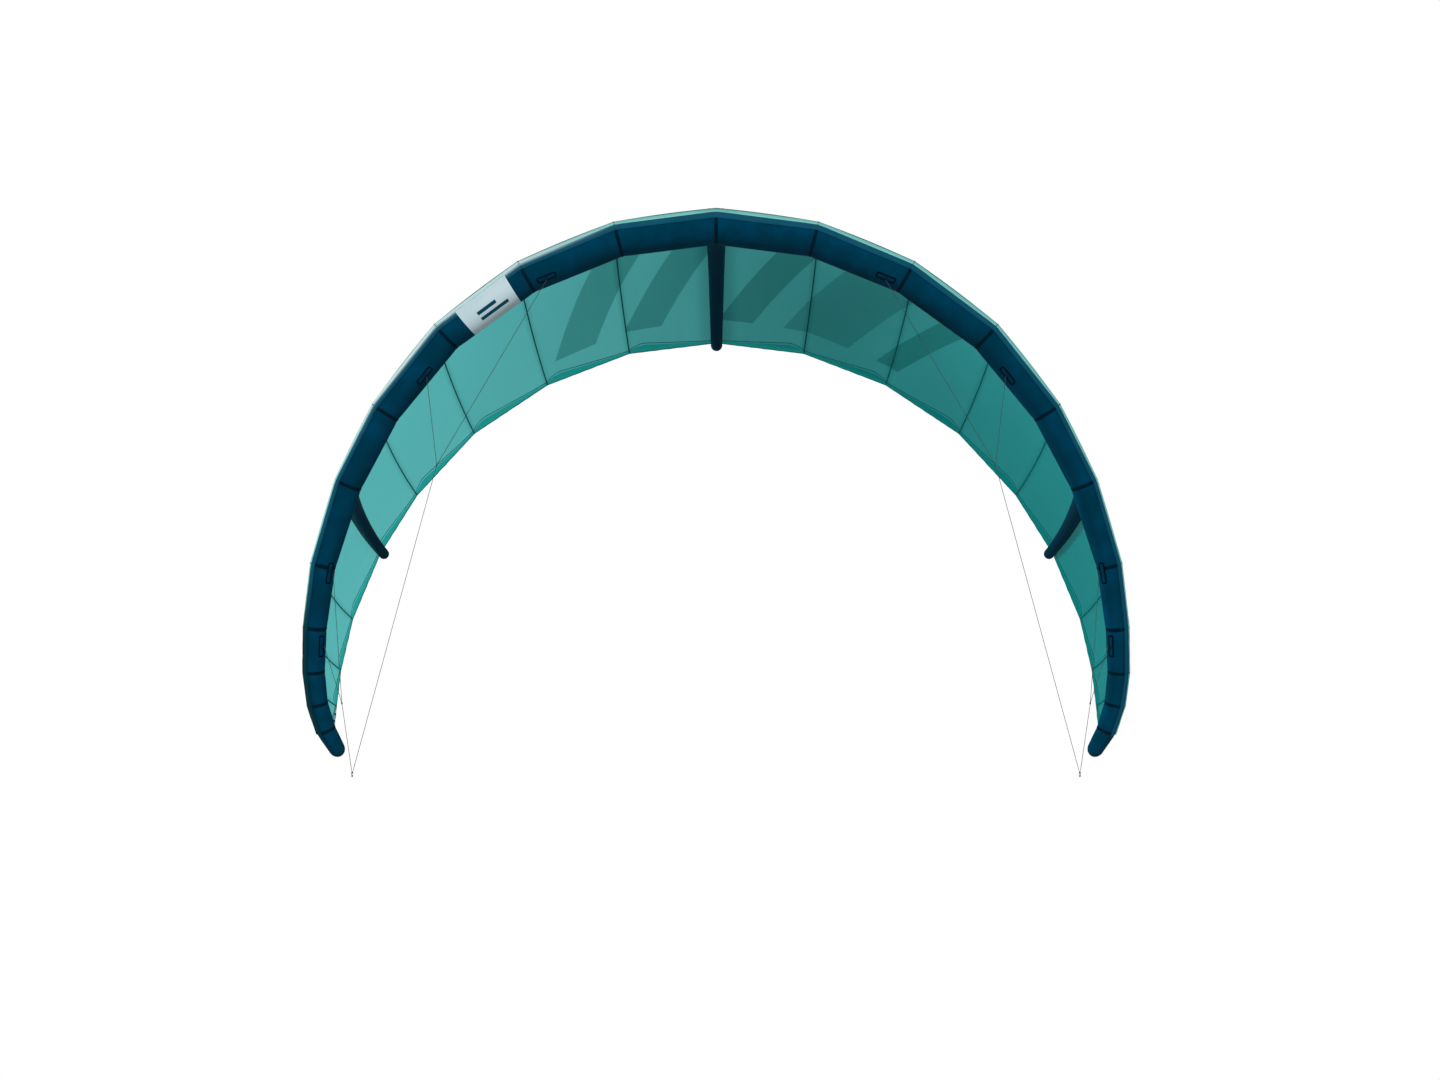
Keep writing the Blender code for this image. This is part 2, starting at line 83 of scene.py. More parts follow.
TAB_STANDOFFS = (0.001, 0.001, 0.007, 0.001)
EAR_REACH = 0.0261
UPPER_JUNCTION = (1.51, 0.25, -1.27)
LOWER_JUNCTION = (2.012, 0.5, -2.53)
BRIDLE_END = (1.937, 0.45, -2.91)
KNOT_RADIUS = 0.009
HOSE_DIAMETER = 0.014
HOSE_GAP = 0.0025
HOSE_OFFSET = 0.15
HOSE_AROUND = 5
HOSE_BEND = 0.07
STRUT_RINGS = 9
LEASH_ALONG, LEASH_AROUND, LEASH_STANDOFF = 0.2, -20, 0.006
REAR_TAB_LENGTH, REAR_TAB_WIDTH = 0.06, 0.03
SIDES = ((-1, "left"), (1, "right"))
FACES = ((1, "outer"), (-1, "inner"))

# The looks: cloth sizes in metres, and where the white panel starts and ends.
CLOTH_THICKNESS = 0.0012
BULGE = 0.016
BAND_WIDTH = 0.019
TAPE_WIDTH = 0.0065
WHITE_PANEL = (-2.767, -2.176)
TUBE_CLOTH = 0.0015
WRAP_HEIGHT = 0.0016
PATCH_SIZE = (0.112, 0.034, 0.008)
PATCH_PROFILE = ((0.0, 0.0004), (0.0004, 0.0016), (0.0062, 0.0018), (0.0067, 0.0009), (0.009, 0.0009))
PATCH_RIM_RINGS = 3
STRUT_RUN = 1.9

# Columns round the tube: under the sheet, across the strip, under the white panel, and the rest.
HIDDEN_COLUMNS, STRIP_COLUMNS, WHITE_COLUMNS, REST_COLUMNS = 4, 6, 32, 44
WRAP_COLUMNS = 9
CAP_RINGS = 12
PLAIN_TIP_ROWS = 12

CAMERA_PLACE = (0.021, -14.415, -5.544)
CAMERA_RISE = 14.73
CAMERA_LENS = 70.64
FLOOR_HALF = 7
FLOOR_LEVEL = -6.3

NAVY = (0.0, 0.045, 0.083, 1)
STRIP_NAVY = (0.008, 0.1, 0.165, 1)
DARK_NAVY = (0.0, 0.03, 0.06, 1)
TEAL = (0.0, 0.42, 0.4, 1)
THROUGH_TEAL = (0.44, 0.87, 0.865, 1)
HEM_TEAL = (0.08, 0.66, 0.62, 1)
# The sheet's front edge is painted paler than the canopy, for the strong light falling on it from above.
PAINTED_LIGHT_SLIVER_TEAL = (0.36, 0.82, 0.74, 1)
SEAM_DARK = (0.0, 0.12, 0.13, 1)
# Colours of a painted highlight along the upper left, on the strip and on the sheet's front edge.
STRIP_PAINTED_HIGHLIGHT = (0.5, 0.56, 0.62, 1)
SLIVER_PAINTED_HIGHLIGHT = (0.86, 0.95, 0.93, 1)
# Colours of a painted shade down the lower left, on the strip and on the sheet's front edge.
PAINTED_SHADE_STRIP = (0.003, 0.045, 0.06, 1)
PAINTED_SHADE_EDGE = (0.005, 0.05, 0.05, 1)
BLACK = (0.004, 0.011, 0.015, 1)
WHITE = (0.9, 0.9, 0.92, 1)

PARTS = bpy.data.collections.new("kite_looks")
bpy.context.scene.collection.children.link(PARTS)


# ---------------------------------------------------------------- shape


def arc_lengths():
    total = [0.0]
    for width in PANEL_WIDTHS:
        total.append(total[-1] + width)
    return total


ARC = arc_lengths()


def mirrored(point, side):
    return Vector((side * point[0], point[1], point[2]))


def tube_radius(length):
    beyond = length - ARC[LAST_RIB]
    if beyond > 0:
        return TUBE_TIP_RADIUS + (TUBE_END_RADIUS - TUBE_TIP_RADIUS) * beyond / PANEL_WIDTHS[LAST_RIB]
    return TUBE_RADIUS - (TUBE_RADIUS - TUBE_TIP_RADIUS) * (length / ARC[LAST_RIB]) ** TUBE_TAPER


def right_stations():
    points = [Vector((0, 0, 0))]
    for width, angle, length in zip(PANEL_WIDTHS, PANEL_ANGLES, ARC[1:]):
        step = Vector((width * cos(radians(angle)), 0, -width * sin(radians(angle))))
        centre = points[-1] + step
        centre.y = SWEEP * (length / ARC[LAST_RIB]) ** 2
        points.append(centre)
    return points


STATIONS = right_stations()


def station_frame(index, side):
    """(centre, along, back, out) of the leading edge at a seam."""
    centre = mirrored(STATIONS[index], side)
    angles = [PANEL_ANGLES[max(index - 1, 0)], PANEL_ANGLES[min(index, TIP - 1)]]
    lean = radians(sum(angles) / 2) if index else 0.0
    out = Vector((side * sin(lean), 0, cos(lean)))
    before = STATIONS[index] - STATIONS[index - 1] if index else Vector((1, 0, 0))
    after = STATIONS[index + 1] - STATIONS[index] if index < TIP else before
    along = (before.normalized() + after.normalized()).normalized() if index else Vector((1, 0, 0))
    along = Vector((along.x, side * along.y, side * along.z))
    return centre, along, out.cross(along).normalized(), out


def panel_frame(length, side):
    """The same frame at a distance along one half's tube, inside a straight segment."""
    index = max(i for i in range(TIP) if ARC[i] <= length)
    share = (length - ARC[index]) / PANEL_WIDTHS[index]
    centre = mirrored(STATIONS[index].lerp(STATIONS[index + 1], share), side)
    lean = radians(PANEL_ANGLES[index])
    out = Vector((side * sin(lean), 0, cos(lean)))
    along = (STATIONS[index + 1] - STATIONS[index]).normalized()
    along = Vector((along.x, side * along.y, side * along.z))
    return centre, along, out.cross(along).normalized(), out


def around(frame_here, angle):
    _, _, back, out = frame_here
    return back * cos(radians(angle)) + out * sin(radians(angle))


def split(panel):
    """(side, lower seam number, share of the way to the next seam) of a signed panel number."""
    side = -1 if panel < 0 else 1
    index = min(int(abs(panel)), TIP - 1)
    return side, index, abs(panel) - index


def arc_at(panel):
    """The signed distance along the tube from the middle."""
    side, index, share = split(panel)
    return side * (ARC[index] + share * PANEL_WIDTHS[index])


def panel_at(length):
    """The unsigned panel number at a distance along one half."""
    index = max(i for i in range(TIP) if ARC[i] <= length + 1e-9)
    return index + (length - ARC[index]) / PANEL_WIDTHS[index]


def tube_point(panel, angle, height=0.0):
    """A point on the leading edge, with height out of its surface. The cloth draws in a little at seams."""
    side, index, share = split(panel)
    ends = []
    for i in (index, index + 1):
        here = station_frame(i, side)
        ends.append((here[0], around(here, angle), tube_radius(ARC[i])))
    centre = ends[0][0].lerp(ends[1][0], share)
    outward = ends[0][1].lerp(ends[1][1], share)
    radius = ends[0][2] + (ends[1][2] - ends[0][2]) * share
    near = min(share, 1 - share) * PANEL_WIDTHS[index]
    pinch = 0.0016 * exp(-((near / 0.02) ** 2)) if index + share < TIP - 0.2 else 0.0
    return centre + outward * (radius - pinch + height)


def station_value(values, panel):
    """A number given at each seam, at any signed panel number."""
    _, index, share = split(panel)
    last = len(values) - 1
    return values[min(index, last)] * (1 - share) + values[min(index + 1, last)] * share


def sewn_angle(panel):
    """Where the sheet's front edge is sewn to the tube."""
    return station_value(SEWN_ANGLES, panel)


def strip_angle(panel):
    """Where the strip that takes the canopy ends on the front of the tube."""
    return station_value(STRIP_ANGLES, panel)


def canopy_ends(index, side):
    here = station_frame(index, side)
    centre, _, back, out = here
    turn = LEAVE_ANGLES[index]
    start = centre + around(here, turn) * (tube_radius(ARC[index]) + CANOPY_LIFT)
    chord = ROOT_CHORD * CHORD_SHARES[index]
    leave = back * sin(radians(turn)) - out * cos(radians(turn))
    rear = Vector((0, cos(radians(TRAILING_ANGLE)), 0)) - out * sin(radians(TRAILING_ANGLE))
    end = centre + Vector((0, chord, 0))
    return start, start + leave * FRONT_PULL * chord, end - rear * REAR_PULL * chord, end


def on_profile(corners, t):
    a, b, c, d = corners
    return a * (1 - t) ** 3 + b * 3 * t * (1 - t) ** 2 + c * 3 * t**2 * (1 - t) + d * t**3


def profile_slope(corners, t):
    a, b, c, d = corners
    slope = (b - a) * (1 - t) ** 2 + (c - b) * 2 * t * (1 - t) + (d - c) * t**2
    return slope.normalized()


ENDS = {(i, side): canopy_ends(i, side) for i in range(LAST_RIB + 1) for side in (-1, 1)}


def flat_canopy_point(panel, t):
    side, index, share = split(panel)
    if index == LAST_RIB:
        return on_profile(ENDS[index, side], t)
    first = on_profile(ENDS[index, side], t)
    second = on_profile(ENDS[index + 1, side], t)
    return first.lerp(second, share)


def panel_out(panel):
    side, index, _ = split(panel)
    lean = radians(PANEL_ANGLES[min(index, LAST_RIB - 1)])
    return Vector((side * sin(lean), 0, cos(lean)))


def canopy_point(panel, t, height=0.0):
    """A point on the sheet, with the height above its outer face. Each panel fills a little with wind.

    From t = 0 down to -1 the sheet hugs the tube, from where it leaves to its sewn front edge.
    """
    if t < 0:
        turn = station_value(LEAVE_ANGLES, panel) * (1 + t) - sewn_angle(panel) * t
        return tube_point(panel, turn, WRAP_HEIGHT + (CANOPY_LIFT - WRAP_HEIGHT) * (1 + t) ** 2 + height)
    _, index, share = split(panel)
    width = PANEL_WIDTHS[min(index, LAST_RIB - 1)]
    fill = BULGE * (width / PANEL_WIDTHS[0]) * sin(pi * share) * sin(pi * min(t, 1.0)) ** 0.8
    pucker = 0.0
    if index < LAST_RIB:
        front = exp(-t * 26)
        rear = exp(-(1 - t) * 20)
        ripple = sin(arc_at(panel) * 2 * pi / 0.021) * 0.0006 * front
        pucker = ripple + sin(arc_at(panel) * 2 * pi / 0.083 + 1.3) * 0.0011 * rear * sin(pi * share) ** 2
    return flat_canopy_point(panel, t) + panel_out(panel) * (fill + pucker + height)


# ---------------------------------------------------------------- meshes


def add_object(name, data, look, body="kite"):
    made = bpy.data.objects.new(name, data)
    PARTS.objects.link(made)
    data.materials.append(look)
    if body:
        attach(made, body)
    return made


def sheet_mesh(name, rows, uvs=None, flip=False, smooth=50, picks=None, second=None):
    """A grid of points as a mesh. uvs gives each point's place in metres, and second another pair.

    picks gives the material number of the face at a row and a column.
    """
    mesh = bpy.data.meshes.new(name)
    wide = len(rows[0])
    points = [point for row in rows for point in row]
    faces = []
    for i in range(len(rows) - 1):
        for j in range(wide - 1):
            k = i * wide + j
            square = (k, k + 1, k + wide + 1, k + wide)
            faces.append(square[::-1] if flip else square)
    mesh.from_pydata(points, [], faces)
    for map_name, table in (("metres", uvs), ("edges", second)):
        if table is None:
            continue
        layer = mesh.uv_layers.new(name=map_name)
        flat = [pair for row in table for pair in row]
        for loop in mesh.loops:
            layer.data[loop.index].uv = flat[loop.vertex_index]
    if picks:
        for face in mesh.polygons:
            i, j = divmod(face.index, wide - 1)
            face.material_index = picks(i, j)
    shape = bmesh.new()
    shape.from_mesh(mesh)
    bmesh.ops.remove_doubles(shape, verts=shape.verts, dist=1e-5)
    loose = [v for v in shape.verts if not v.link_faces]
    bmesh.ops.delete(shape, geom=loose, context="VERTS")
    shape.to_mesh(mesh)
    shape.free()
    mesh.shade_smooth()
    if smooth:
        mesh.set_sharp_from_angle(angle=radians(smooth))
    return mesh


def two_grids(grid):
    """A grid of (point, uv) pairs as a grid of points and a grid of UVs."""
    return [[pair[0] for pair in row] for row in grid], [[pair[1] for pair in row] for row in grid]


def sheet_piece(name, rows, uvs, looks, slot, thickness, offset=0.0, **settings):
    """A sheet as a piece of the kite, thickened. looks are its materials, the main one first."""
    mesh = sheet_mesh(name, rows, uvs, **settings)
    made = add_object(name, mesh, looks[0])
    for look in looks[1:]:
        mesh.materials.append(look)
    thick = made.modifiers.new("Thickness", "SOLIDIFY")
    thick.thickness = thickness
    thick.offset = offset
    thick.use_even_offset = False
    return made


def ring_point(place, first, second, turn, reach):
    """A point at an angle on the circle that two directions span."""
    return place + (first * cos(turn) + second * sin(turn)) * reach


def softened(points, pieces, rounds):
    """A line cut into short pieces, with its corners rounded off."""
    fine = [a.lerp(b, k / pieces) for a, b in zip(points, points[1:]) for k in range(pieces)] + points[-1:]
    for _ in range(rounds):
        fine = [fine[0]] + [(a + b * 2 + c) / 4 for a, b, c in zip(fine, fine[1:], fine[2:])] + [fine[-1]]
    return fine


def steps_between(first, last, count):
    return [first + (last - first) * i / count for i in range(count + 1)]


def blended_steps(first, last, spread=(0.0, 0.02, 0.05, 0.1, 0.18, 0.3, 0.42, 0.5)):
    """Steps across one panel, closer together near its two seams."""
    shares = list(spread) + [1 - s for s in reversed(spread[:-1])]
    return [first + (last - first) * s for s in shares]


def tube_mesh(name, points, radius, sides=10):
    """A closed tube along a list of points."""
    rings = []
    up = Vector((0, 0, 1))
    count = len(points)
    for i, point in enumerate(points):
        along = (points[min(i + 1, count - 1)] - points[max(i - 1, 0)]).normalized()
        if i == 0:
            first = along.cross(up if abs(along.z) < 0.9 else Vector((0, 1, 0))).normalized()
        else:
            first = (first - along * first.dot(along)).normalized()
        second = along.cross(first)
        rings.append([ring_point(point, first, second, 2 * pi * k / sides, radius) for k in range(sides)])
    mesh = bpy.data.meshes.new(name)
    verts = [v for r in rings for v in r]
    faces = []
    for i in range(count - 1):
        for k in range(sides):
            n = (k + 1) % sides
            faces.append((i * sides + k, i * sides + n, (i + 1) * sides + n, (i + 1) * sides + k))
    faces.append(tuple(reversed(range(sides))))
    faces.append(tuple((count - 1) * sides + k for k in range(sides)))
    mesh.from_pydata(verts, [], faces)
    layer = mesh.uv_layers.new(name="metres")
    run = [0.0]
    for a, b in zip(points, points[1:]):
        run.append(run[-1] + (b - a).length)
    for face in mesh.polygons:
        if len(face.vertices) > 4:
            continue
        for corner, loop in zip(face.vertices, face.loop_indices):
            k = corner % sides
            wrap = sides if k == 0 and max(v % sides for v in face.vertices) == sides - 1 else k
            layer.data[loop].uv = (run[corner // sides], wrap / sides * 2 * pi * radius)
    mesh.shade_smooth()
    mesh.set_sharp_from_angle(angle=radians(60))
    return mesh


# ---------------------------------------------------------------- materials


class Look:
    """A small helper that builds one node material. Values are sockets or plain numbers."""

    def __init__(self, name, colour, roughness, **settings):
        self.material = bpy.data.materials.new(name)
        self.material.use_nodes = True
        self.tree = self.material.node_tree
        self.shader = self.tree.nodes["Principled BSDF"]
        self.output = self.tree.nodes["Material Output"]
        self.shader.inputs["Base Color"].default_value = colour
        self.shader.inputs["Roughness"].default_value = roughness
        for key, value in settings.items():
            self.shader.inputs[key.replace("_", " ")].default_value = value
        self.material.diffuse_color = colour

    def node(self, kind, settings=None, **inputs):
        made = self.tree.nodes.new("ShaderNode" + kind)
        for key, value in (settings or {}).items():
            setattr(made, key, value)
        for key, value in inputs.items():
            self.join(value, made.inputs[key.replace("_", " ")])
        return made

    def join(self, value, socket):
        if isinstance(value, bpy.types.NodeSocket):
            self.tree.links.new(value, socket)
        else:
            socket.default_value = value

    def math(self, operation, *values):
        made = self.tree.nodes.new("ShaderNodeMath")
        made.operation = operation
        for value, socket in zip(values, made.inputs):
            self.join(value, socket)
        return made.outputs[0]

    def step(self, value, low, high, first=0.0, last=1.0):
        """A smooth ramp from first to last as value goes from low to high."""
        made = self.tree.nodes.new("ShaderNodeMapRange")
        made.interpolation_type = "SMOOTHSTEP"
        for item, socket in zip((value, low, high, first, last), made.inputs):
            self.join(item, socket)
        return made.outputs[0]

    def mix(self, share, first, second):
        made = self.tree.nodes.new("ShaderNodeMix")
        made.data_type = "RGBA"
        self.join(share, made.inputs[0])
        self.join(first, made.inputs[6])
        self.join(second, made.inputs[7])
        return made.outputs[2]

    def uv(self, name="metres"):
        """The two coordinates of a UV map."""
        source = self.node("UVMap", {"uv_map": name})
        parts = self.node("SeparateXYZ", Vector=source.outputs[0])
        return parts.outputs[0], parts.outputs[1], source.outputs[0]

    def noise(self, vector, scale, detail=3.0):
        return self.node("TexNoise", Vector=vector, Scale=scale, Detail=detail).outputs["Fac"]

    def stretched(self, vector, scale):
        made = self.node("Mapping", {"vector_type": "POINT"}, Vector=vector)
        made.inputs["Scale"].default_value = scale
        return made.outputs[0]

    def place(self):
        return self.node("TexCoord").outputs["Object"]

    def line(self, value, centre, half, soft=0.0005):
        """1 on a line of that half width, where value is near centre."""
        off = self.math("ABSOLUTE", self.math("SUBTRACT", value, centre))
        return self.step(off, half - soft, half + soft, 1.0, 0.0)

    def weave(self, u, v, pitch):
        """A plain weave as a height from 0 to 1."""
        across = self.math("SINE", self.math("MULTIPLY", u, 2 * pi / pitch))
        down = self.math("SINE", self.math("MULTIPLY", v, 2 * pi / pitch))
        both = self.math("MULTIPLY", across, down)
        return self.math("MULTIPLY_ADD", both, 0.5, 0.5)

    def grid(self, u, v, pitch, half):
        """The thicker threads of ripstop cloth, as 1 on each line of a square grid."""
        lines = []
        for value in (u, v):
            whole = self.math("PINGPONG", value, pitch / 2)
            lines.append(self.step(whole, half * 0.5, half * 1.5, 1.0, 0.0))
        return self.math("MAXIMUM", *lines)

    def stitches(self, along, across, centre, pitch=0.0045):
        """A row of stitches as 1 on each dash."""
        row = self.line(across, centre, 0.0006, 0.0003)
        dash = self.step(self.math("PINGPONG", along, pitch / 2), pitch * 0.1, pitch * 0.16)
        return self.math("MULTIPLY", row, dash)

    def add(self, *values):
        total = values[0]
        for value in values[1:]:
            total = self.math("ADD", total, value)
        return total

    def highest(self, values):
        total = values[0]
        for value in values[1:]:
            total = self.math("MAXIMUM", total, value)
        return total

    def times(self, value, factor):
        return self.math("MULTIPLY", value, factor)

    def bump(self, height, distance, strength=1.0, under=None):
        made = self.node("Bump", Height=height, Distance=distance, Strength=strength)
        if under is not None:
            self.tree.links.new(under, made.inputs["Normal"])
        return made.outputs[0]

    def finish(self, colour=None, roughness=None, normal=None, through=0.0, through_colour=None):
        if colour is not None:
            self.join(colour, self.shader.inputs["Base Color"])
        if roughness is not None:
            self.join(roughness, self.shader.inputs["Roughness"])
        if normal is not None:
            self.join(normal, self.shader.inputs["Normal"])
        if through:
            glow = self.node("BsdfTranslucent", Color=colour if through_colour is None else through_colour)
            if normal is not None:
                self.join(normal, glow.inputs["Normal"])
            both = self.node("MixShader", Fac=through)
            self.tree.links.new(self.shader.outputs[0], both.inputs[1])
            self.tree.links.new(glow.outputs[0], both.inputs[2])
            self.tree.links.new(both.outputs[0], self.output.inputs["Surface"])
        return self.material


def coated_cloth(
    name, colour, roughness, lighter, specular=0.03, ribs=0.0, seam=False, mark=False, painted_highlight=None
):
    """Heavy coated sailcloth for the tubes: fine weave, soft creases, and faint wear.

    seam draws the stitched edge of the strip at v = 0, and mark two plain bars on the pale panel. The last
    argument, if given, is the colour of a painted highlight on the upper left, and with it the lower left
    also gets a painted shade.
    """
    look = Look(name, colour, roughness, Specular_IOR_Level=specular)
    u, v, metres = look.uv()
    spot = look.place()
    cloud = look.noise(spot, 7.0, 4.0)
    crease = look.noise(look.stretched(metres, (26, 3, 1)), 1.0, 3.0)
    fleck = look.noise(spot, 900.0, 1.0)
    tint = look.mix(look.step(cloud, 0.35, 0.7), colour, lighter)
    tint = look.mix(look.step(fleck, 0.55, 0.75, 0.0, 0.15), tint, lighter)
    dark = (colour[0] * 0.15, colour[1] * 0.15, colour[2] * 0.15, 1)
    height = look.times(look.weave(u, v, 0.0016), 0.25)
    # Painted highlight along the upper left, and painted shade down the lower left.
    if painted_highlight:
        tint = look.mix(painted_highlight_upper_left(look, u, look.step(v, -0.02, -0.052)), tint, painted_highlight)
        tint = look.mix(painted_shade_lower_left(look, u), tint, PAINTED_SHADE_STRIP)
    if seam:
        sewn = look.math("MAXIMUM", look.stitches(u, v, 0.006, 0.012), look.stitches(u, v, -0.006, 0.012))
        edge = look.line(v, 0.0, 0.0012, 0.0006)
        tint = look.mix(look.times(look.math("MAXIMUM", sewn, edge), 0.8), tint, dark)
        height = look.add(height, look.times(edge, -1.0), sewn)
    if mark:
        bars = look.math("MAXIMUM", block(look, u, v, MARK_BARS[0]), block(look, u, v, MARK_BARS[1]))
        tint = look.mix(bars, tint, (0.0, 0.07, 0.12, 1))
    normal = look.bump(crease, 0.004, 0.2)
    if ribs:
        rib = look.math("PINGPONG", u, 0.006)
        normal = look.bump(look.times(rib, 160.0), 0.0006, ribs, under=normal)
    normal = look.bump(height, 0.0006, 0.5, under=normal)
    rough = look.step(cloud, 0.3, 0.8, roughness - 0.05, roughness + 0.09)
    return look.finish(tint, rough, normal)


def painted_highlight_upper_left(look, u, share):
    """A painted highlight: a pale gloss that fades in and out along the upper left of the leading edge."""
    rise = look.step(u, -0.45, -1.1)
    fall = look.step(u, -2.7, -1.9)
    return look.times(look.times(rise, fall), share)


def painted_shade_lower_left(look, u):
    """A painted shade that rises from 0 to 1 down the left wing, along the front edge."""
    return look.step(u, -2.95, -3.4)


def block(look, u, v, sides):
    """1 inside a rectangle of (left, right, low, high)."""
    left, right, low, high = sides
    across = look.line(u, (left + right) / 2, (right - left) / 2)
    return look.times(across, look.line(v, (low + high) / 2, (high - low) / 2))


def slanted(look, u, v, low, high):
    """1 inside a slanted bar, between two distances along the kite."""
    lean = 0.35
    leaning = look.math("MULTIPLY_ADD", v, lean, u)
    bar = look.line(leaning, (low + high) / 2 + lean * 1.4, (high - low) / 2, 0.0015)
    return look.times(bar, look.line(v, 1.2, 0.56, 0.0015))


def tone_print(look, u, v):
    """Plain slanted bars either side of the middle strut, one of them hatched."""
    ends = ((-0.86, -0.6), (-0.42, -0.2), (0.14, 0.34), (0.52, 0.92), (1.1, 1.24))
    bars = [slanted(look, u, v, low, high) for low, high in ends]
    hatch = look.math("PINGPONG", look.math("MULTIPLY_ADD", v, 0.6, u), 0.008)
    bars[3] = look.times(bars[3], look.step(hatch, 0.002, 0.005, 0.45, 1.0))
    return look.highest(bars)


def canopy_cloth(name, colour, through, through_colour, specular=0.1, painted_highlight=None):
    """Translucent ripstop with a tone-on-tone print, painted shade by the seams and either side of the middle
    strut, and a doubled hem at the back.
    """
    look = Look(name, colour, 0.5, Specular_IOR_Level=specular)
    u, v, metres = look.uv()
    near, hem, _ = look.uv("edges")
    cloud = look.noise(metres, 1.6, 4.0)
    printed = look.times(tone_print(look, u, v), 0.28)
    grid = look.grid(u, v, 0.006, 0.0004)
    # Painted shade: darker within 35 mm of each seam and either side of the middle strut, added to the print
    # and the ripstop grid.
    painted_shade_by_seam = look.step(near, 0.0, 0.035, 0.12, 0.0)
    painted_shade_by_strut = look.step(look.math("ABSOLUTE", u), 0.05, 0.14, 0.16, 0.0)
    print_grid_and_painted_shade = look.add(printed, look.times(grid, 0.08), painted_shade_by_seam, painted_shade_by_strut)
    doubled = look.step(hem, -0.0008, 0.0008, 0.0, 0.75)
    dark = tuple(0.12 * c for c in colour[:3]) + (1,)
    deep = (0.0, 0.3 * through_colour[1], 0.3 * through_colour[2], 1)
    pale = tuple(min(1.0, 1.06 * c) for c in colour[:3]) + (1,)
    tint = look.mix(look.step(cloud, 0.3, 0.75), colour, pale)
    tint = look.mix(print_grid_and_painted_shade, tint, dark)
    glow = look.mix(doubled, look.mix(print_grid_and_painted_shade, through_colour, deep), HEM_TEAL)
    # The last argument, if given, is the colour of a painted highlight on the upper left; with it the lower
    # left also gets a painted shade, in both the colour and the glow.
    if painted_highlight:
        tint = look.mix(painted_highlight_upper_left(look, u, 0.9), tint, painted_highlight)
        tint = look.mix(painted_shade_lower_left(look, u), tint, PAINTED_SHADE_EDGE)
        glow = look.mix(painted_shade_lower_left(look, u), glow, PAINTED_SHADE_EDGE)
    folds = look.noise(look.stretched(metres, (9, 1.2, 1)), 1.0, 3.0)
    normal = look.bump(folds, 0.012, 0.2)
    normal = look.bump(grid, 0.0002, 0.2, under=normal)
    return look.finish(tint, None, normal, through, glow)


def tape_look(name, colour, lighter, roughness=0.6, rows=(0.0,)):
    """Sewn tape: a fine twill with rows of stitches along it."""
    look = Look(name, colour, roughness, Specular_IOR_Level=0.08)
    u, v, metres = look.uv()
    twill = look.math("PINGPONG", look.add(u, v), 0.0009)
    rib = look.step(twill, 0.0001, 0.0008)
    sewn = look.highest([look.stitches(u, v, row) for row in rows])
    cloud = look.noise(metres, 30.0, 2.0)
    tint = look.mix(look.step(cloud, 0.3, 0.7, 0.0, 0.5), colour, lighter)
    tint = look.mix(look.times(rib, 0.25), tint, lighter)
    tint = look.mix(look.times(sewn, 0.7), tint, lighter)
    height = look.add(look.times(rib, 0.4), sewn)
    return look.finish(tint, None, look.bump(height, 0.0004, 0.6))


def plain_plastic(name, colour, roughness):
    look = Look(name, colour, roughness, Specular_IOR_Level=0.3)
    spot = look.place()
    grain = look.noise(spot, 900.0, 2.0)
    wear = look.noise(spot, 30.0, 3.0)
    tint = look.mix(look.step(wear, 0.45, 0.8, 0.0, 0.3), colour, (0.09, 0.09, 0.095, 1))
    rough = look.step(wear, 0.3, 0.8, roughness - 0.08, roughness + 0.12)
    return look.finish(tint, rough, look.bump(grain, 0.0002, 0.3))


def film(name, colour, roughness):
    look = Look(name, colour, roughness, Transmission_Weight=0.35, IOR=1.4)
    spot = look.place()
    crease = look.noise(spot, 22.0, 4.0)
    tint = look.mix(look.step(crease, 0.3, 0.7), colour, (0.62, 0.7, 0.73, 1))
    return look.finish(tint, None, look.bump(crease, 0.003, 0.4))


def braid(name, colour, lighter):
    """Braided line: two families of strands that cross, each going round once in its lay."""
    look = Look(name, colour, 0.7, Specular_IOR_Level=0.1)
    u, v, _ = look.uv()
    lay = 0.006
    lean = look.times(v, lay / (pi * BRIDLE_CORD))
    one = look.math("PINGPONG", look.add(u, lean), lay / 6)
    two = look.math("PINGPONG", look.math("SUBTRACT", u, lean), lay / 6)
    strand = look.times(look.math("MAXIMUM", one, two), 6 / lay)
    spot = look.place()
    soil = look.noise(spot, 12.0, 2.0)
    tint = look.mix(look.step(strand, 0.3, 0.9), colour, lighter)
    tint = look.mix(look.step(soil, 0.4, 0.8, 0.0, 0.4), tint, colour)
    return look.finish(tint, None, look.bump(strand, 0.0004, 0.7))


def ticked(name, colour, lighter):
    """A pale edging with a dark tick at each step along it."""
    look = Look(name, colour, 0.6, Specular_IOR_Level=0.1)
    pitch = 0.05
    u, v, metres = look.uv()
    tick = look.step(look.math("PINGPONG", u, pitch / 2), pitch * 0.12, pitch * 0.14, 1.0, 0.0)
    weave = look.weave(u, v, 0.0012)
    tint = look.mix(look.step(look.noise(metres, 40.0), 0.3, 0.7), colour, lighter)
    tint = look.mix(tick, tint, (0.0, 0.03, 0.05, 1))
    return look.finish(tint, None, look.bump(weave, 0.0003, 0.4))


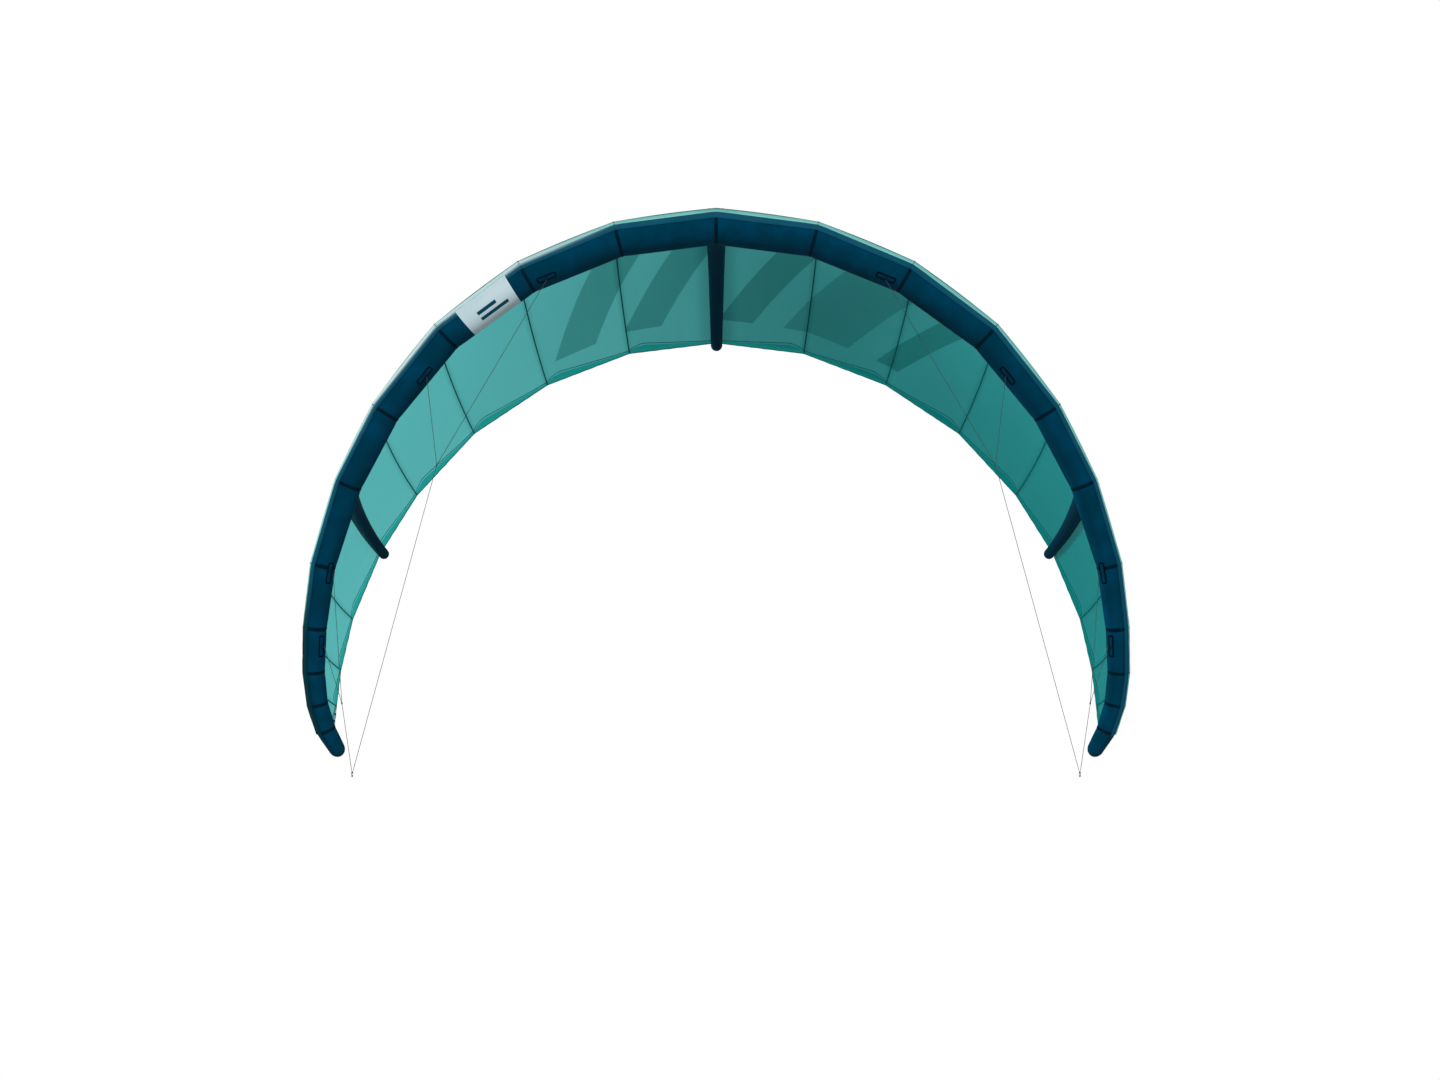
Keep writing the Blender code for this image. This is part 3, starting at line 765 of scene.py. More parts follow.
MARK_BARS = ((-1.395, -1.215, 0.088, 0.108), (-1.395, -1.275, 0.05, 0.07))
CASING = coated_cloth("casing_navy", NAVY, 0.42, (0.0, 0.06, 0.122, 1), seam=True)
STRIP = coated_cloth(
    "casing_strip_navy", STRIP_NAVY, 0.45, (0.012, 0.112, 0.18, 1), 0.08, 0.5, seam=True, painted_highlight=STRIP_PAINTED_HIGHLIGHT
)
PANEL_WHITE = coated_cloth("casing_white", WHITE, 0.45, (0.84, 0.85, 0.88, 1), 0.2, mark=True)
STRUT_CLOTH = coated_cloth("strut_dark_navy", DARK_NAVY, 0.4, (0.0, 0.037, 0.072, 1))
CANOPY = canopy_cloth("canopy_ripstop", TEAL, 0.75, THROUGH_TEAL)
# The sheet's front edge: the same ripstop with a paler colour painted in for the light falling on it from
# above, plus the painted highlight and painted shade along the left.
PAINTED_LIGHT_SLIVER = canopy_cloth("canopy_front_edge_painted_light", PAINTED_LIGHT_SLIVER_TEAL, 0.1, THROUGH_TEAL, 0.04, SLIVER_PAINTED_HIGHLIGHT)
BAND = tape_look("seam_band_dark", (0.0, 0.009, 0.018, 1), (0.0, 0.028, 0.05, 1), 0.55, (-0.0065, 0.0065))
SEAM = tape_look("canopy_seam_tape", SEAM_DARK, (0.0, 0.14, 0.15, 1), 0.6, (-0.0022, 0.0022))
BINDING = tape_look("canopy_edge_binding", (0.02, 0.3, 0.29, 1), (0.04, 0.38, 0.37, 1), 0.6, (0.0035,))
OUTLINE = tape_look("patch_outline_dark", (0.0, 0.001, 0.003, 1), (0.0, 0.006, 0.011, 1), 0.8, (0.0,))
PATCH = coated_cloth("patch_navy", (0.0, 0.046, 0.095, 1), 0.45, (0.0, 0.052, 0.105, 1))
TICKS = ticked("tip_edging_white", (0.95, 0.96, 0.97, 1), (0.88, 0.9, 0.92, 1))
WEBBING = tape_look("webbing_black", BLACK, (0.05, 0.05, 0.055, 1), 0.75, (-0.009, 0.009))
PLASTIC = plain_plastic("valve_black", (0.02, 0.02, 0.022, 1), 0.42)
FILM = film("bladder_clear", (0.75, 0.8, 0.82, 1), 0.35)
HOSE = film("hose_milky", (0.7, 0.76, 0.78, 1), 0.4)
LINE = braid("bridle_grey", (0.06, 0.072, 0.078, 1), (0.11, 0.13, 0.14, 1))


# ---------------------------------------------------------------- leading edge


def tube_angles(panel):
    """Angles round the tube: under the sheet, across the strip, and the rest of the way round."""
    sewn, seam = sewn_angle(panel), strip_angle(panel)
    hidden, strip = steps_between(87, sewn, HIDDEN_COLUMNS), steps_between(sewn, seam, STRIP_COLUMNS)
    return hidden[:-1] + strip[:-1] + steps_between(seam, 87 + 360, REST_COLUMNS)


def on_strip(column):
    return HIDDEN_COLUMNS <= column < HIDDEN_COLUMNS + STRIP_COLUMNS


def tube_places(panel, length, reach):
    """UVs round the tube: the distance along it, and the distance round it from the strip's stitched edge."""
    seam = strip_angle(panel)
    return [(length, radians(a - seam) * reach) for a in tube_angles(panel)]


def tube_section(name, first, last, node):
    """One sewn section of the leading edge between two signed panel numbers, left to right."""
    marks = [first + k for k in range(int(last - first))] + [last]
    stops = []
    for a, b in zip(marks, marks[1:]):
        run = sorted(blended_steps(a, b) + [e for e in WHITE_PANEL if a < e < b])
        stops += run if not stops else run[1:]
    rows = [[tube_point(panel, a) for a in tube_angles(panel)] for panel in stops]
    uvs = [tube_places(p, arc_at(p), tube_radius(abs(arc_at(p)))) for p in stops]

    def pick(i, j):
        middle = (stops[i] + stops[i + 1]) / 2
        if WHITE_PANEL[0] < middle < WHITE_PANEL[1] and HIDDEN_COLUMNS <= j < HIDDEN_COLUMNS + WHITE_COLUMNS:
            return 2
        return int(on_strip(j))

    looks = (CASING, STRIP, PANEL_WHITE)
    made = sheet_piece(name, rows, uvs, looks, "casing_cloth", TUBE_CLOTH, -1.0, picks=pick)
    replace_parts(made, node)


def tip_cap(side, label):
    """The tube's last panel with its rounded end."""
    here = station_frame(TIP, side)
    radius = tube_radius(ARC[TIP])
    stops = [s for k in range(8, TIP) for s in blended_steps(k, k + 1)[: (-1 if k < TIP - 1 else None)]]
    rows = [[tube_point(side * panel, a) for a in tube_angles(panel)] for panel in stops]
    uvs = [tube_places(p, arc_at(side * p), tube_radius(ARC[min(int(p), TIP)])) for p in stops]
    for k in range(1, CAP_RINGS + 1):
        turn = 0.5 * pi * k / CAP_RINGS
        middle = here[0] + here[1] * side * TIP_CAP_SHARE * radius * sin(turn)
        rows.append([middle + around(here, a) * radius * cos(turn) for a in tube_angles(TIP)])
        uvs.append(tube_places(TIP, side * (ARC[TIP] + radius * turn), radius))
    strip_rows = len(stops) - PLAIN_TIP_ROWS

    def pick(i, j):
        return int(on_strip(j) and i < strip_rows)

    name = f"leading_edge_tip_cloth_{label}"
    looks = (CASING, STRIP)
    made = sheet_piece(name, rows, uvs, looks, "casing_cloth", TUBE_CLOTH, -1.0, flip=side < 0, picks=pick)
    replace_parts(made, f"leading_edge_tip_{label}")


def leading_edge():
    tube_section("leading_edge_centre_cloth", -2, 2, "leading_edge_centre")
    for side, label in SIDES:
        for part, a, b in (("inner", 2, 5), ("outer", 5, 8)):
            first, last = sorted((side * a, side * b))
            tube_section(f"leading_edge_{part}_cloth_{label}", first, last, f"leading_edge_{part}_{label}")
        tip_cap(side, label)


def seam_tag(index):
    return f"{abs(index)}_{'left' if index < 0 else 'right'}" if index else "middle"


def seam_bands():
    """A dark tape round the tube at each seam, raised above the cloth."""
    section = ((-0.5, 0.0002), (-0.47, 0.0011), (0, 0.0026), (0.47, 0.0011), (0.5, 0.0002))
    for index in range(-LAST_RIB, LAST_RIB + 1):
        width = BAND_WIDTH * (1 if abs(index) < 8 else 0.85)
        reach = tube_radius(ARC[abs(index)])

        def spot(angle, share, height):
            shift = share * width
            side = 1 if index + shift > 0 else -1
            step = shift / PANEL_WIDTHS[min(int(abs(index + shift * 0.1 * side)), TIP - 1)]
            return tube_point(index + step, angle, height), (radians(angle) * reach, shift)

        angles = steps_between(strip_angle(index), 377, 48)
        rows, uvs = two_grids([[spot(a, *part) for part in section] for a in angles])
        name = f"seam_band_{seam_tag(index)}"
        sheet_piece(name, rows, uvs, (BAND,), "casing_cloth", 0.0009, -1.0, flip=True)


# ---------------------------------------------------------------- canopy


def sheet_panels(count_of):
    """Signed panel numbers from one end of the sheet to the other, with count_of(k) steps in each panel."""
    stops = [float(-LAST_RIB)]
    for k in range(-LAST_RIB, LAST_RIB):
        stops += steps_between(k, k + 1, count_of(k))[1:]
    return stops


def profile_length(panel, t, count=24):
    """The distance along the sheet from where it leaves the tube."""
    if t < 0:
        wrap = sewn_angle(panel) - station_value(LEAVE_ANGLES, panel)
        return t * radians(wrap) * tube_radius(abs(arc_at(panel)))
    points = [flat_canopy_point(panel, t * i / count) for i in range(count + 1)]
    return sum((b - a).length for a, b in zip(points, points[1:]))


def canopy():
    panels = sheet_panels(lambda k: max(8, round(PANEL_WIDTHS[k if k >= 0 else -k - 1] / 0.03)))
    shares = steps_between(-1.0, 0.0, 5)[:-1] + [(i / 44) ** 1.25 for i in range(45)]
    rows = [[canopy_point(p, t) for t in shares] for p in panels]
    uvs, edges = [], []
    for panel in panels:
        table = [profile_length(panel, t) for t in shares]
        _, index, share = split(panel)
        near = min(share, 1 - share) * PANEL_WIDTHS[min(index, TIP - 1)]
        reach = hem_reach(panel)
        uvs.append([(arc_at(panel), d) for d in table])
        edges.append([(near if t > 0 else 1.0, reach - (table[-1] - d)) for t, d in zip(shares, table)])
    made = sheet_piece(
        "canopy_sheet", rows, uvs, (CANOPY, PAINTED_LIGHT_SLIVER), "canopy_cloth", CLOTH_THICKNESS, -1.0,
        flip=True, second=edges, smooth=0, picks=lambda i, j: int(j < WRAP_COLUMNS),
    )
    names = [f"canopy_{part}_{label}" for part in ("centre", "side", "tip") for _, label in SIDES]
    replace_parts(made, *names)
    return made


def canopy_tape(name, panel, face):
    """A sewn seam over the sheet, on its outer face (1) or its inner face (-1)."""
    side, index, _ = split(panel)
    front = [-0.97, -0.7, -0.4, -0.15] if face > 0 else [0.03]
    base = 0.0004 if face > 0 else -CLOTH_THICKNESS - 0.0004

    def spot(t, share):
        shift = share * TAPE_WIDTH
        width = PANEL_WIDTHS[index] if shift > 0 else PANEL_WIDTHS[max(index - 1, 0)]
        crown = 0.0 if share else 0.0006
        place = canopy_point(side * (abs(panel) + shift / width), t, base + face * crown)
        return place, (profile_length(panel, t), shift)

    steps = front + [0.035 + 0.961 * (i / 40) ** 1.2 for i in range(41)]
    rows, uvs = two_grids([[spot(t, share) for share in (-0.5, 0.0, 0.5)] for t in steps])
    flip = (face > 0) == (panel >= 0)
    return sheet_piece(name, rows, uvs, (SEAM,), "canopy_cloth", 0.0006, flip=flip)


def hem_reach(panel):
    """How far the hem comes in from the trailing edge: narrow at a seam, with a point near the outer one."""
    share = split(panel)[2]
    full = profile_length(panel, 1.0)
    peak = 0.84
    if share > peak:
        width = 0.045 + 0.04 * (1 - share) / (1 - peak)
    else:
        width = 0.032 + 0.053 * (share / peak) ** 1.3
    return min(width * min(1.0, 0.35 + full / 2.9), full * 0.4)


def canopy_ribbon(name, panels, low, high, look, face, lift=0.0003):
    """A thin ribbon on one face of the sheet, between low and high from the trailing edge."""
    base = lift if face > 0 else -CLOTH_THICKNESS - lift

    def spot(panel, share):
        inward = low(panel) + (high(panel) - low(panel)) * share
        crown = 0.0004 if share == 0.5 else 0.0
        place = canopy_point(panel, 1 - inward / profile_length(panel, 1.0), base + face * crown)
        return place, (arc_at(panel), inward - low(panel))

    rows, uvs = two_grids([[spot(panel, share) for share in (0.0, 0.5, 1.0)] for panel in panels])
    return sheet_piece(name, rows, uvs, (look,), "canopy_cloth", 0.0005, flip=face < 0)


def canopy_hem():
    """The hem's sewn inner edge on both faces, a rolled edge, and ticked edging on the left tip."""
    made = []
    panels = sheet_panels(lambda k: 20)
    for face, word in FACES:
        name = f"canopy_hem_stitching_{word}"
        made.append(canopy_ribbon(name, panels, lambda p: hem_reach(p) - 0.004, hem_reach, SEAM, face))
        name = f"canopy_edge_binding_{word}"
        made.append(canopy_ribbon(name, panels, lambda p: 0.0006, lambda p: 0.007, BINDING, face))
    tip = steps_between(-9.97, -8.2, 60)
    made.append(canopy_ribbon("tip_edging_left", tip, lambda p: 0.002, lambda p: 0.026, TICKS, -1, 0.0012))
    return made


# ---------------------------------------------------------------- struts


def strut_ring(index, side, radii, t):
    corners = ENDS[index, side]
    _, _, _, out = station_frame(index, side)
    across = Vector((0, 1, 0)).cross(out)
    share = (t - STRUT_START) / (STRUT_END - STRUT_START)
    radius = radii[0] + (radii[1] - radii[0]) * share
    along = profile_slope(corners, t)
    up = along.cross(-across).normalized()
    centre = on_profile(corners, t) - up * (radius + CANOPY_LIFT)
    return centre, along, across, up, radius


def beyond_tube(point, index, side):
    """How far a point is outside the leading edge tube near a seam."""
    best = None
    for a in range(max(index - 1, 0), min(index + 1, TIP - 1) + 1):
        first, second = mirrored(STATIONS[a], side), mirrored(STATIONS[a + 1], side)
        line = second - first
        share = max(0.0, min(1.0, (point - first).dot(line) / line.length_squared))
        reach = tube_radius(ARC[a] + share * PANEL_WIDTHS[a])
        here = (point - (first + line * share)).length - reach
        best = here if best is None else min(best, here)
    if index == 0:
        line = mirrored(STATIONS[1], -side)
        share = max(0.0, min(1.0, point.dot(line) / line.length_squared))
        best = min(best, (point - line * share).length - tube_radius(share * ARC[1]))
    return best


def front_share(index, side, radii, angle, gap):
    """Where along its profile one line of the strut's surface reaches the tube."""
    low, high = 0.0, 0.3
    for _ in range(30):
        middle = (low + high) / 2
        centre, _, across, up, radius = strut_ring(index, side, radii, middle)
        if beyond_tube(ring_point(centre, across, up, angle, radius), index, side) > gap:
            high = middle
        else:
            low = middle
    return high


def strut(label, index, side, radii):
    """A strut's casing, saddled to the tube in front and rounded at the back, with piping at the saddle."""
    turns = [2 * pi * (k / 40 - 0.25) for k in range(41)]
    starts = [front_share(index, side, radii, a, 0.0004) for a in turns]

    def spot(s, a, start):
        t = start + (STRUT_END - start) * s
        centre, _, across, up, radius = strut_ring(index, side, radii, t)
        flare = 0.005 * exp(-((s / 0.012) ** 2)) * (0.5 - 0.5 * sin(a))
        return ring_point(centre, across, up, a, radius + flare), (t * STRUT_RUN, (a + pi / 2) * radius)

    steps = [0.0, 0.004, 0.01, 0.02, 0.035] + [0.06 + 0.94 * i / 30 for i in range(31)]
    rows, uvs = two_grids([[spot(s, a, start) for a, start in zip(turns, starts)] for s in steps])
    centre, along, across, up, radius = strut_ring(index, side, radii, STRUT_END)
    for k in range(1, 11):
        turn = 0.5 * pi * k / 10
        middle = centre + along * radius * sin(turn)
        rows.append([ring_point(middle, across, up, a, radius * cos(turn)) for a in turns])
        uvs.append([(STRUT_END * STRUT_RUN + radius * turn, (a + pi / 2) * radius) for a in turns])
    name = f"strut_cloth_{label}"
    made = sheet_piece(name, rows, uvs, (STRUT_CLOTH,), "strut_cloth", CLOTH_THICKNESS, -1.0, flip=True)
    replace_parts(made, f"{label}_strut_casing")
    piping = []
    for a, start in zip(turns, starts):
        centre, _, across, up, radius = strut_ring(index, side, radii, start + 0.002)
        piping.append(ring_point(centre, across, up, a, radius + 0.005 * (0.5 - 0.5 * sin(a))))
    name = f"strut_saddle_seam_{label}"
    add_object(name, tube_mesh(name, piping, 0.0022, 8), BAND)
    sew_strut(label, index, side, radii)


def sew_strut(label, index, side, radii):
    """The flange that sews the strut up to the sheet, on both sides of its top line."""

    def spot(t, share):
        _, _, across, up, radius = strut_ring(index, side, radii, t)
        wide = radius * 0.62 * share
        bow = sqrt(max(radius**2 - wide**2, 0)) - radius
        low = bow - CANOPY_LIFT if abs(share) < 1 else -0.0022
        place = on_profile(ENDS[index, side], t) + across * wide + up * max(low, -0.012)
        return place, (t * STRUT_RUN, wide)

    steps = steps_between(0.06, STRUT_END, 48)
    rows, uvs = two_grids([[spot(t, share) for share in (-1, -0.55, -0.5, 0.5, 0.55, 1)] for t in steps])
    sheet_piece(f"strut_flange_{label}", rows, uvs, (BAND,), "strut_cloth", 0.0008)


def struts():
    strut("centre", 0, 1, CENTRE_STRUT_RADII)
    for side, label in SIDES:
        strut(label, SIDE_STRUT_STATION, side, SIDE_STRUT_RADII)


# ---------------------------------------------------------------- patches and bridle


def rounded_outline(length, width, radius):
    """A closed rectangle with rounded corners."""
    points = []
    for cx, cy, start in ((1, 1, 0), (-1, 1, 90), (-1, -1, 180), (1, -1, 270)):
        for k in range(9):
            turn = radians(start + 90 * k / 8)
            x = cx * (length / 2 - radius) + radius * cos(turn)
            y = cy * (width / 2 - radius) + radius * sin(turn)
            points.append((x, y))
    return points + points[:1]


def patch(name, side, length):
    """A sewn patch on the tube: rings of a rounded outline, each shrunk by an inset and raised."""
    wide, high, corner = PATCH_SIZE

    def spot(x, y, height):
        turn = BRIDLE_AROUND + degrees(y / tube_radius(length))
        return tube_point(side * panel_at(length + side * x), turn, height), (x, y)

    grid = []
    for inset, height in PATCH_PROFILE:
        outline = rounded_outline(wide - 2 * inset, high - 2 * inset, max(corner - inset, 0.0008))
        grid.append([spot(x, y, height) for x, y in outline])
    grid.append([spot(0.0, 0.0, PATCH_PROFILE[-1][1])] * len(grid[0]))
    rows, uvs = two_grids(grid)
    return sheet_piece(
        name, rows, uvs, (OUTLINE, PATCH), "webbing", 0.0006, -1.0,
        flip=side < 0, picks=lambda i, j: int(i >= PATCH_RIM_RINGS),
    )


def ear_of(side, length, standoff):
    here = panel_frame(length, side)
    outward = around(here, BRIDLE_AROUND)
    foot = here[0] + outward * (tube_radius(length) + standoff)
    return foot, outward, here[1]


def bridle_patch(number, side, label):
    length, standoff = BRIDLE_TABS[number - 1], TAB_STANDOFFS[number - 1]
    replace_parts(patch(f"bridle_patch_{number}_{label}", side, length), f"bridle_tab_{number}_{label}")
    foot, outward, along = ear_of(side, length, standoff)
    across = outward.cross(along)

    def spot(k, wide):
        turn = pi * k / 16
        rise = (EAR_REACH - 0.0025) * sin(turn) ** 0.6
        return foot + along * 0.0065 * cos(turn) + outward * rise + across * wide, (k * 0.003, wide)

    rows, uvs = two_grids([[spot(k, wide) for wide in (-0.006, 0, 0.006)] for k in range(17)])
    sheet_piece(f"bridle_ear_{number}_{label}", rows, uvs, (WEBBING,), "webbing", 0.0014)


def cord_between(name, node, start, end, start_gap, end_gap, side_label, leg):
    direction = (end - start).normalized()
    first, last = start + direction * start_gap, end - direction * end_gap
    points = [first.lerp(last, i / 39) for i in range(40)]
    mesh = tube_mesh(name, points, BRIDLE_CORD / 2, 12)
    body = f"bridle_{side_label}"
    made = add_object(name, mesh, LINE, body=None if leg else body)
    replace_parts(made, node)
    if leg:
        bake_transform(made)


def line_piece(name, points, radius, sides, body):
    return add_object(name, tube_mesh(name, points, radius, sides), LINE, body=body)


def wraps(name, place, axis, turns, count, length, reach, radius, body):
    """Close turns of line round an axis, in count steps."""
    first = axis.orthogonal().normalized()
    second = axis.cross(first)
    points = []
    for k in range(count + 1):
        middle = place + axis * (k / count - 0.5) * length
        points.append(ring_point(middle, first, second, 2 * pi * turns * k / count, reach))
    return line_piece(name, points, radius, 8, body)


def junction_knot(name, node, place, axis, body):
    """A lark's-head knot: three wraps of line over a short core."""
    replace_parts(wraps(name, place, axis, 3, 96, 0.0095, 0.0029, 0.0015, body), node)
    core = [place + axis * (k / 8 - 0.5) * 0.017 for k in range(9)]
    line_piece(name + "_core", core, 0.0022, 10, body)


def pigtail(side, label):
    """The doubled line at the bridle's end, closed by a stopper knot."""
    top = mirrored(BRIDLE_END, side)
    body = f"bridle_{label}"
    up = Vector((0, 0, 1))
    points = []
    for k in range(33):
        turn = pi * k / 32
        wide = 0.0036 * sin(turn) ** 0.7
        points.append(top + Vector((wide, 0, -0.022 * (1 - cos(turn)) / 2)))
    back = [Vector((2 * top.x - p.x, p.y, p.z)) for p in reversed(points[:-1])]
    loop = line_piece(f"front_loop_{label}", points + back, 0.0016, 10, body)
    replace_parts(loop, f"front_pigtail_{label}")
    for word, drop in (("stopper", 0.026), ("whipping", 0.004)):
        wraps(f"front_{word}_{label}", top - up * drop, up, 2.5, 64, 0.007, 0.0026, 0.0014, body)


def bridle(side, label):
    upper, lower, end = (mirrored(p, side) for p in (UPPER_JUNCTION, LOWER_JUNCTION, BRIDLE_END))
    knot_gap = KNOT_RADIUS + 0.0003
    body = f"bridle_{label}"
    for number, junction in zip((1, 2, 3, 4), (upper, upper, lower, lower)):
        bridle_patch(number, side, label)
        foot, outward, _ = ear_of(side, BRIDLE_TABS[number - 1], TAB_STANDOFFS[number - 1])
        ear = foot + outward * EAR_REACH
        name = f"bridle_line_{number}_{label}"
        cord_between(name, f"bridle_leg_{number}_{label}", ear, junction, 0.0, knot_gap, label, True)
    sides = Vector((0.003, 0, 0)) * side
    for part, junction, shift in (("upper", upper, -sides), ("lower", lower, sides)):
        name, node = f"bridle_main_line_{part}_{label}", f"bridle_{part}_main_{label}"
        cord_between(name, node, junction, end + shift, knot_gap, 0.004, label, False)
        axis = (end - junction).normalized()
        junction_knot(f"bridle_knot_{part}_{label}", f"bridle_{part}_knot_{label}", junction, axis, body)
    pigtail(side, label)


# ---------------------------------------------------------------- hoses and webbing


def hose(label, index, side, radii):
    """The one-pump hose from the back of the leading edge to the side of a strut."""
    towards_tip = -1 if index else 1
    start_length = ARC[index] + HOSE_OFFSET * towards_tip
    here = panel_frame(start_length, side)
    t = STRUT_START + (STRUT_END - STRUT_START) / (STRUT_RINGS - 1)
    centre, _, across, up, radius = strut_ring(index, side, radii, t)
    leave = around(here, HOSE_AROUND)
    start = here[0] + leave * (tube_radius(start_length) + HOSE_GAP)
    arrive = (across * side * towards_tip * 0.95 - up * 0.3).normalized()
    end = centre + arrive * (radius + HOSE_GAP)
    corners = (start, start + leave * HOSE_BEND, end + arrive * HOSE_BEND, end)
    points = [on_profile(corners, i / 47) for i in range(48)]
    name = f"hose_{label}"
    made = add_object(name, tube_mesh(name, points, HOSE_DIAMETER / 2, 20), HOSE)
    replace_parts(made, f"{label}_inflation_hose")
    for place, direction, word in ((start, leave, "front"), (end, arrive, "rear")):
        name = f"hose_collar_{word}_{label}"
        spots = [place + direction * d for d in (-0.0018, 0.003, 0.0034, 0.012, 0.0125)]
        reaches = (0.0165, 0.0165, 0.0102, 0.0094, 0.0086)
        collar(name, spots, direction, reaches)


def collar(name, spots, direction, reaches):
    """A moulded flange that holds one end of a hose."""
    first = direction.orthogonal().normalized()
    second = direction.cross(first)
    turns = steps_between(0.0, 2 * pi, 28)
    bore = HOSE_DIAMETER / 2 + 0.0003
    rings = list(zip(spots, reaches)) + [(spots[-1], bore), (spots[0], bore), (spots[0], reaches[0])]
    rows = [[ring_point(p, first, second, a, r) for a in turns] for p, r in rings]
    add_object(name, sheet_mesh(name, rows, smooth=35), PLASTIC)


def strap(name, points, across, width, thickness, node):
    """A webbing strap along a list of points, in place of a CAD node."""
    shares = (-0.5, -0.46, -0.2, 0.2, 0.46, 0.5)
    rows, uvs = [], []
    run = 0.0
    for k, point in enumerate(points):
        run += (point - points[k - 1]).length if k else 0.0
        rows.append([point + across * width * share for share in shares])
        uvs.append([(run, width * share) for share in shares])
    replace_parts(sheet_piece(name, rows, uvs, (WEBBING,), "webbing", thickness), node)


def leash_loop():
    """A webbing loop for the pump leash, sewn down by two feet behind the leading edge."""
    here = panel_frame(LEASH_ALONG, -1)
    outward, along = around(here, LEASH_AROUND), here[1]
    foot = here[0] + outward * (tube_radius(LEASH_ALONG) + LEASH_STANDOFF)
    across = along.cross(outward)
    corners = ((-0.034, -0.0045), (-0.022, -0.0045), (-0.0175, 0.0), (-0.0135, 0.0185), (-0.009, 0.0215))
    left = [Vector((x, y, 0)) for x, y in corners]
    flat = left + [Vector((0, 0.0215, 0))] + [Vector((-p.x, p.y, 0)) for p in reversed(left)]
    points = [foot + along * p.x + outward * p.y for p in softened(flat, 4, 4)]
    strap("pump_leash_strap", points, across, 0.02, 0.0024, "pump_leash_loop")


def rear_tab(side, label):
    """A folded webbing loop under the tip's back corner, with a sewn bar across its top."""
    end = ENDS[LAST_RIB, side][3]
    along = station_frame(LAST_RIB, side)[1]
    down = (Vector((along.x, 0, along.z)) * side).normalized()
    back = Vector((0, 1, 0))
    across = back.cross(down)
    top = end - back * REAR_TAB_WIDTH
    loop = [top + back * p[0] + down * p[1] for p in fold_outline()]
    strap(f"rear_line_strap_{label}", loop, across, 0.0058, 0.0022, f"rear_line_tab_{label}")
    outline = rounded_outline(REAR_TAB_WIDTH, 0.026, 0.004)
    for face, word in reversed(FACES):
        rows, uvs = [], []
        for shrink, lift in ((1.0, 0.0016), (0.97, 0.0026), (0.5, 0.0028), (0.0, 0.0028)):
            middle = top - down * 0.016 + across * face * lift
            rows.append([middle + back * x * shrink + down * y * shrink for x, y in outline])
            uvs.append([(x * shrink, y * shrink) for x, y in outline])
        name = f"rear_tab_patch_{word}_{label}"
        sheet_piece(name, rows, uvs, (WEBBING,), "webbing", 0.0006, flip=face * side < 0)


def fold_outline():
    """The strap's line in its own plane, out from the corner, round the end, and back."""
    half = REAR_TAB_WIDTH / 2 - 0.0015
    down = [(half, 0.0012), (half, 0.02), (half - 0.001, 0.036), (0.0125, 0.05)]
    down.append((0.0085, REAR_TAB_LENGTH - 0.0016))
    flat = down + [(0.0, REAR_TAB_LENGTH - 0.0012)] + [(-x, y) for x, y in reversed(down)]
    return softened([Vector((x, y)) for x, y in flat], 5, 3)


# ---------------------------------------------------------------- carried-over CAD pieces


def paint(node, look):
    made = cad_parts[node]
    made.data.materials.clear()
    made.data.materials.append(look)


def carried_over():
    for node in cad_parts:
        if node.endswith("bladder"):
            paint(node, FILM)
        elif "clip" in node or "valve" in node:
            paint(node, PLASTIC)


# ---------------------------------------------------------------- stage


def placed(name, data):
    made = bpy.data.objects.new(name, data)
    bpy.context.scene.collection.objects.link(made)
    return made


def sun(name, towards, strength, colour=(1, 1, 1), gloss=False):
    """A soft distant light that comes from a direction."""
    data = bpy.data.lights.new(name, "SUN")
    data.angle = radians(12)
    data.energy = strength
    data.color = colour
    made = placed(name, data)
    made.visible_glossy = gloss
    made.rotation_euler = Vector(towards).to_track_quat("Z", "Y").to_euler()


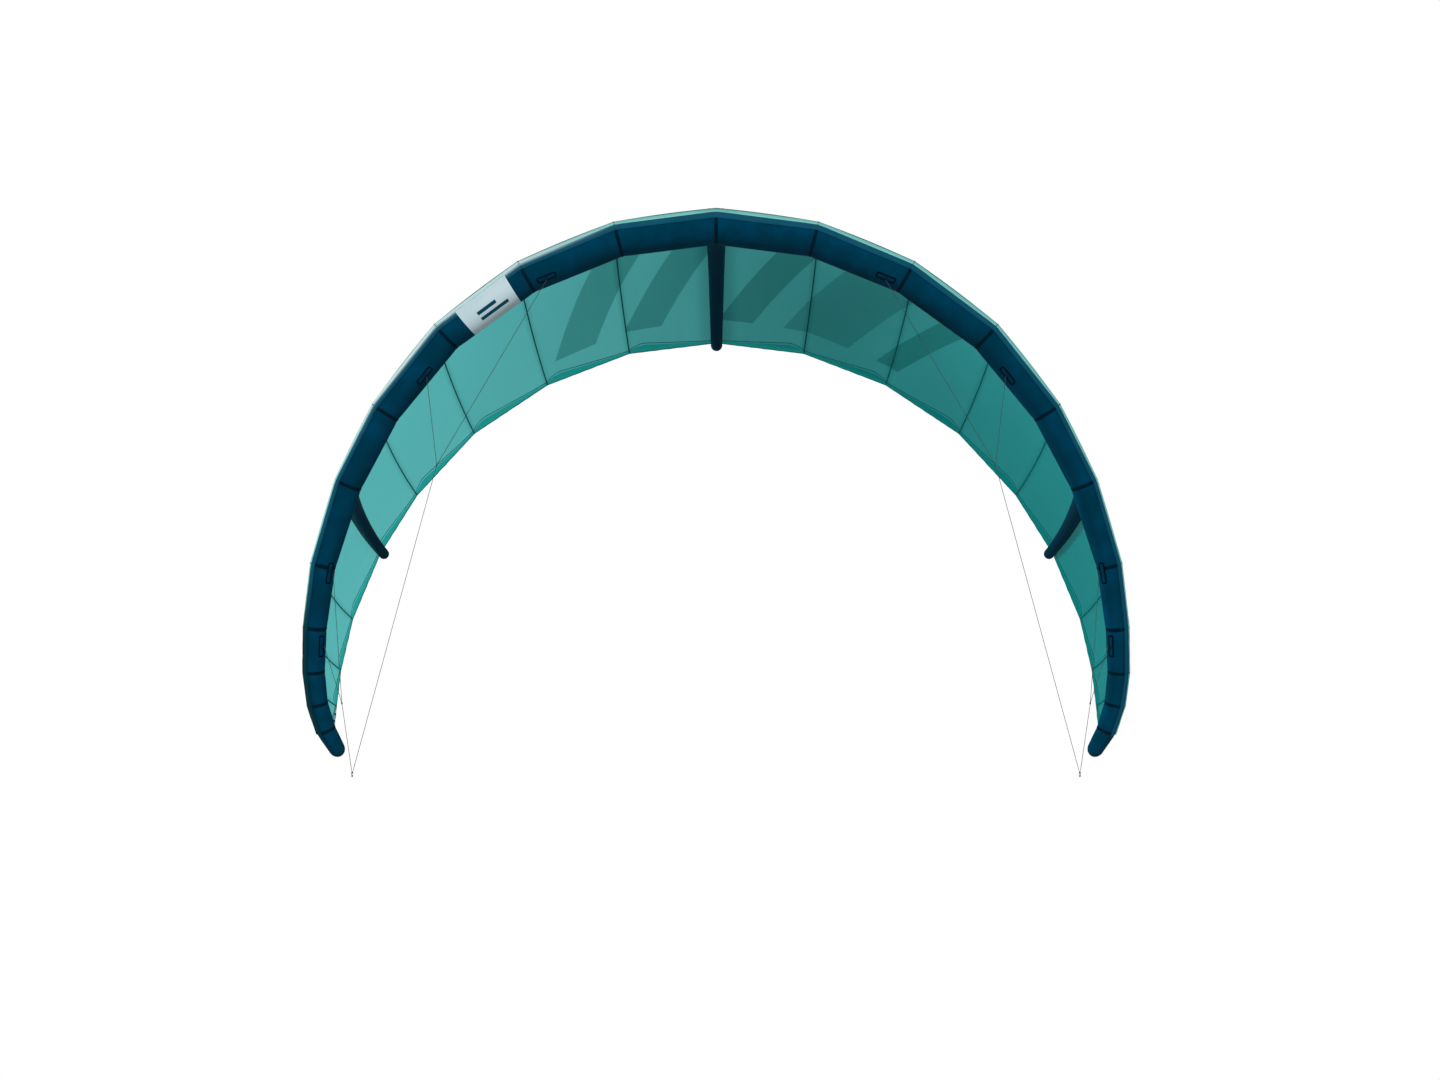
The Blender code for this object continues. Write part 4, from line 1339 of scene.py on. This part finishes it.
def studio():
    camera = bpy.data.cameras.new("camera")
    camera.lens = CAMERA_LENS
    camera.sensor_width = 36
    camera.clip_end = 200
    made = placed("camera", camera)
    made.location = CAMERA_PLACE
    made.rotation_euler = (radians(90 + CAMERA_RISE), 0, 0)
    bpy.context.scene.camera = made

    sun("left", (-0.8, 0.52, 0.07), 2.65)
    sun("front", (0.0, -0.94, 0.34), 2.2, (0.78, 0.96, 1.0))
    sun("right", (0.8, 0.5, 0.1), 0.45, (0.6, 0.95, 1.0))
    sun("gloss", (-0.52, 0.33, 0.79), 0.2, gloss=True)

    world = bpy.data.worlds.new("world")
    bpy.context.scene.world = world
    world.use_nodes = True
    tree = world.node_tree
    light = tree.nodes["Background"]
    light.inputs["Color"].default_value = (0.6, 0.95, 1, 1)
    light.inputs["Strength"].default_value = 0.12
    seen = tree.nodes.new("ShaderNodeBackground")
    seen.inputs["Color"].default_value = (1, 1, 1, 1)
    seen.inputs["Strength"].default_value = 1.0
    path = tree.nodes.new("ShaderNodeLightPath")
    both = tree.nodes.new("ShaderNodeMixShader")
    tree.links.new(path.outputs["Is Camera Ray"], both.inputs[0])
    tree.links.new(light.outputs[0], both.inputs[1])
    tree.links.new(seen.outputs[0], both.inputs[2])
    tree.links.new(both.outputs[0], tree.nodes["World Output"].inputs["Surface"])
    bpy.context.scene.view_settings.view_transform = "Standard"
    bpy.context.scene.view_settings.look = "None"

    floor = bpy.data.meshes.new("floor")
    corners = [(x * FLOOR_HALF, y * FLOOR_HALF, 0) for x, y in ((-1, -1), (1, -1), (1, 1), (-1, 1))]
    floor.from_pydata(corners, [], [(0, 1, 2, 3)])
    ground = placed("floor", floor)
    ground.location = (0, 0, FLOOR_LEVEL)
    floor.materials.append(Look("floor_pale", (0.8, 0.8, 0.8, 1), 0.9).material)


studio()
for bridle_side, bridle_label in SIDES:
    bridle(bridle_side, bridle_label)
leading_edge()
seam_bands()
SHEET = canopy()
TAPES = []
for seam_index in range(-LAST_RIB + 1, LAST_RIB):
    if abs(seam_index) in (0, SIDE_STRUT_STATION):
        continue
    for tape_face, word in FACES:
        tape_name = f"canopy_seam_{word}_{seam_tag(seam_index)}"
        TAPES.append(canopy_tape(tape_name, seam_index, tape_face))
TAPES += canopy_hem()
struts()
hose("centre", 0, 1, CENTRE_STRUT_RADII)
for hose_side, hose_label in SIDES:
    hose(hose_label, SIDE_STRUT_STATION, hose_side, SIDE_STRUT_RADII)
    rear_tab(hose_side, hose_label)
leash_loop()
carried_over()
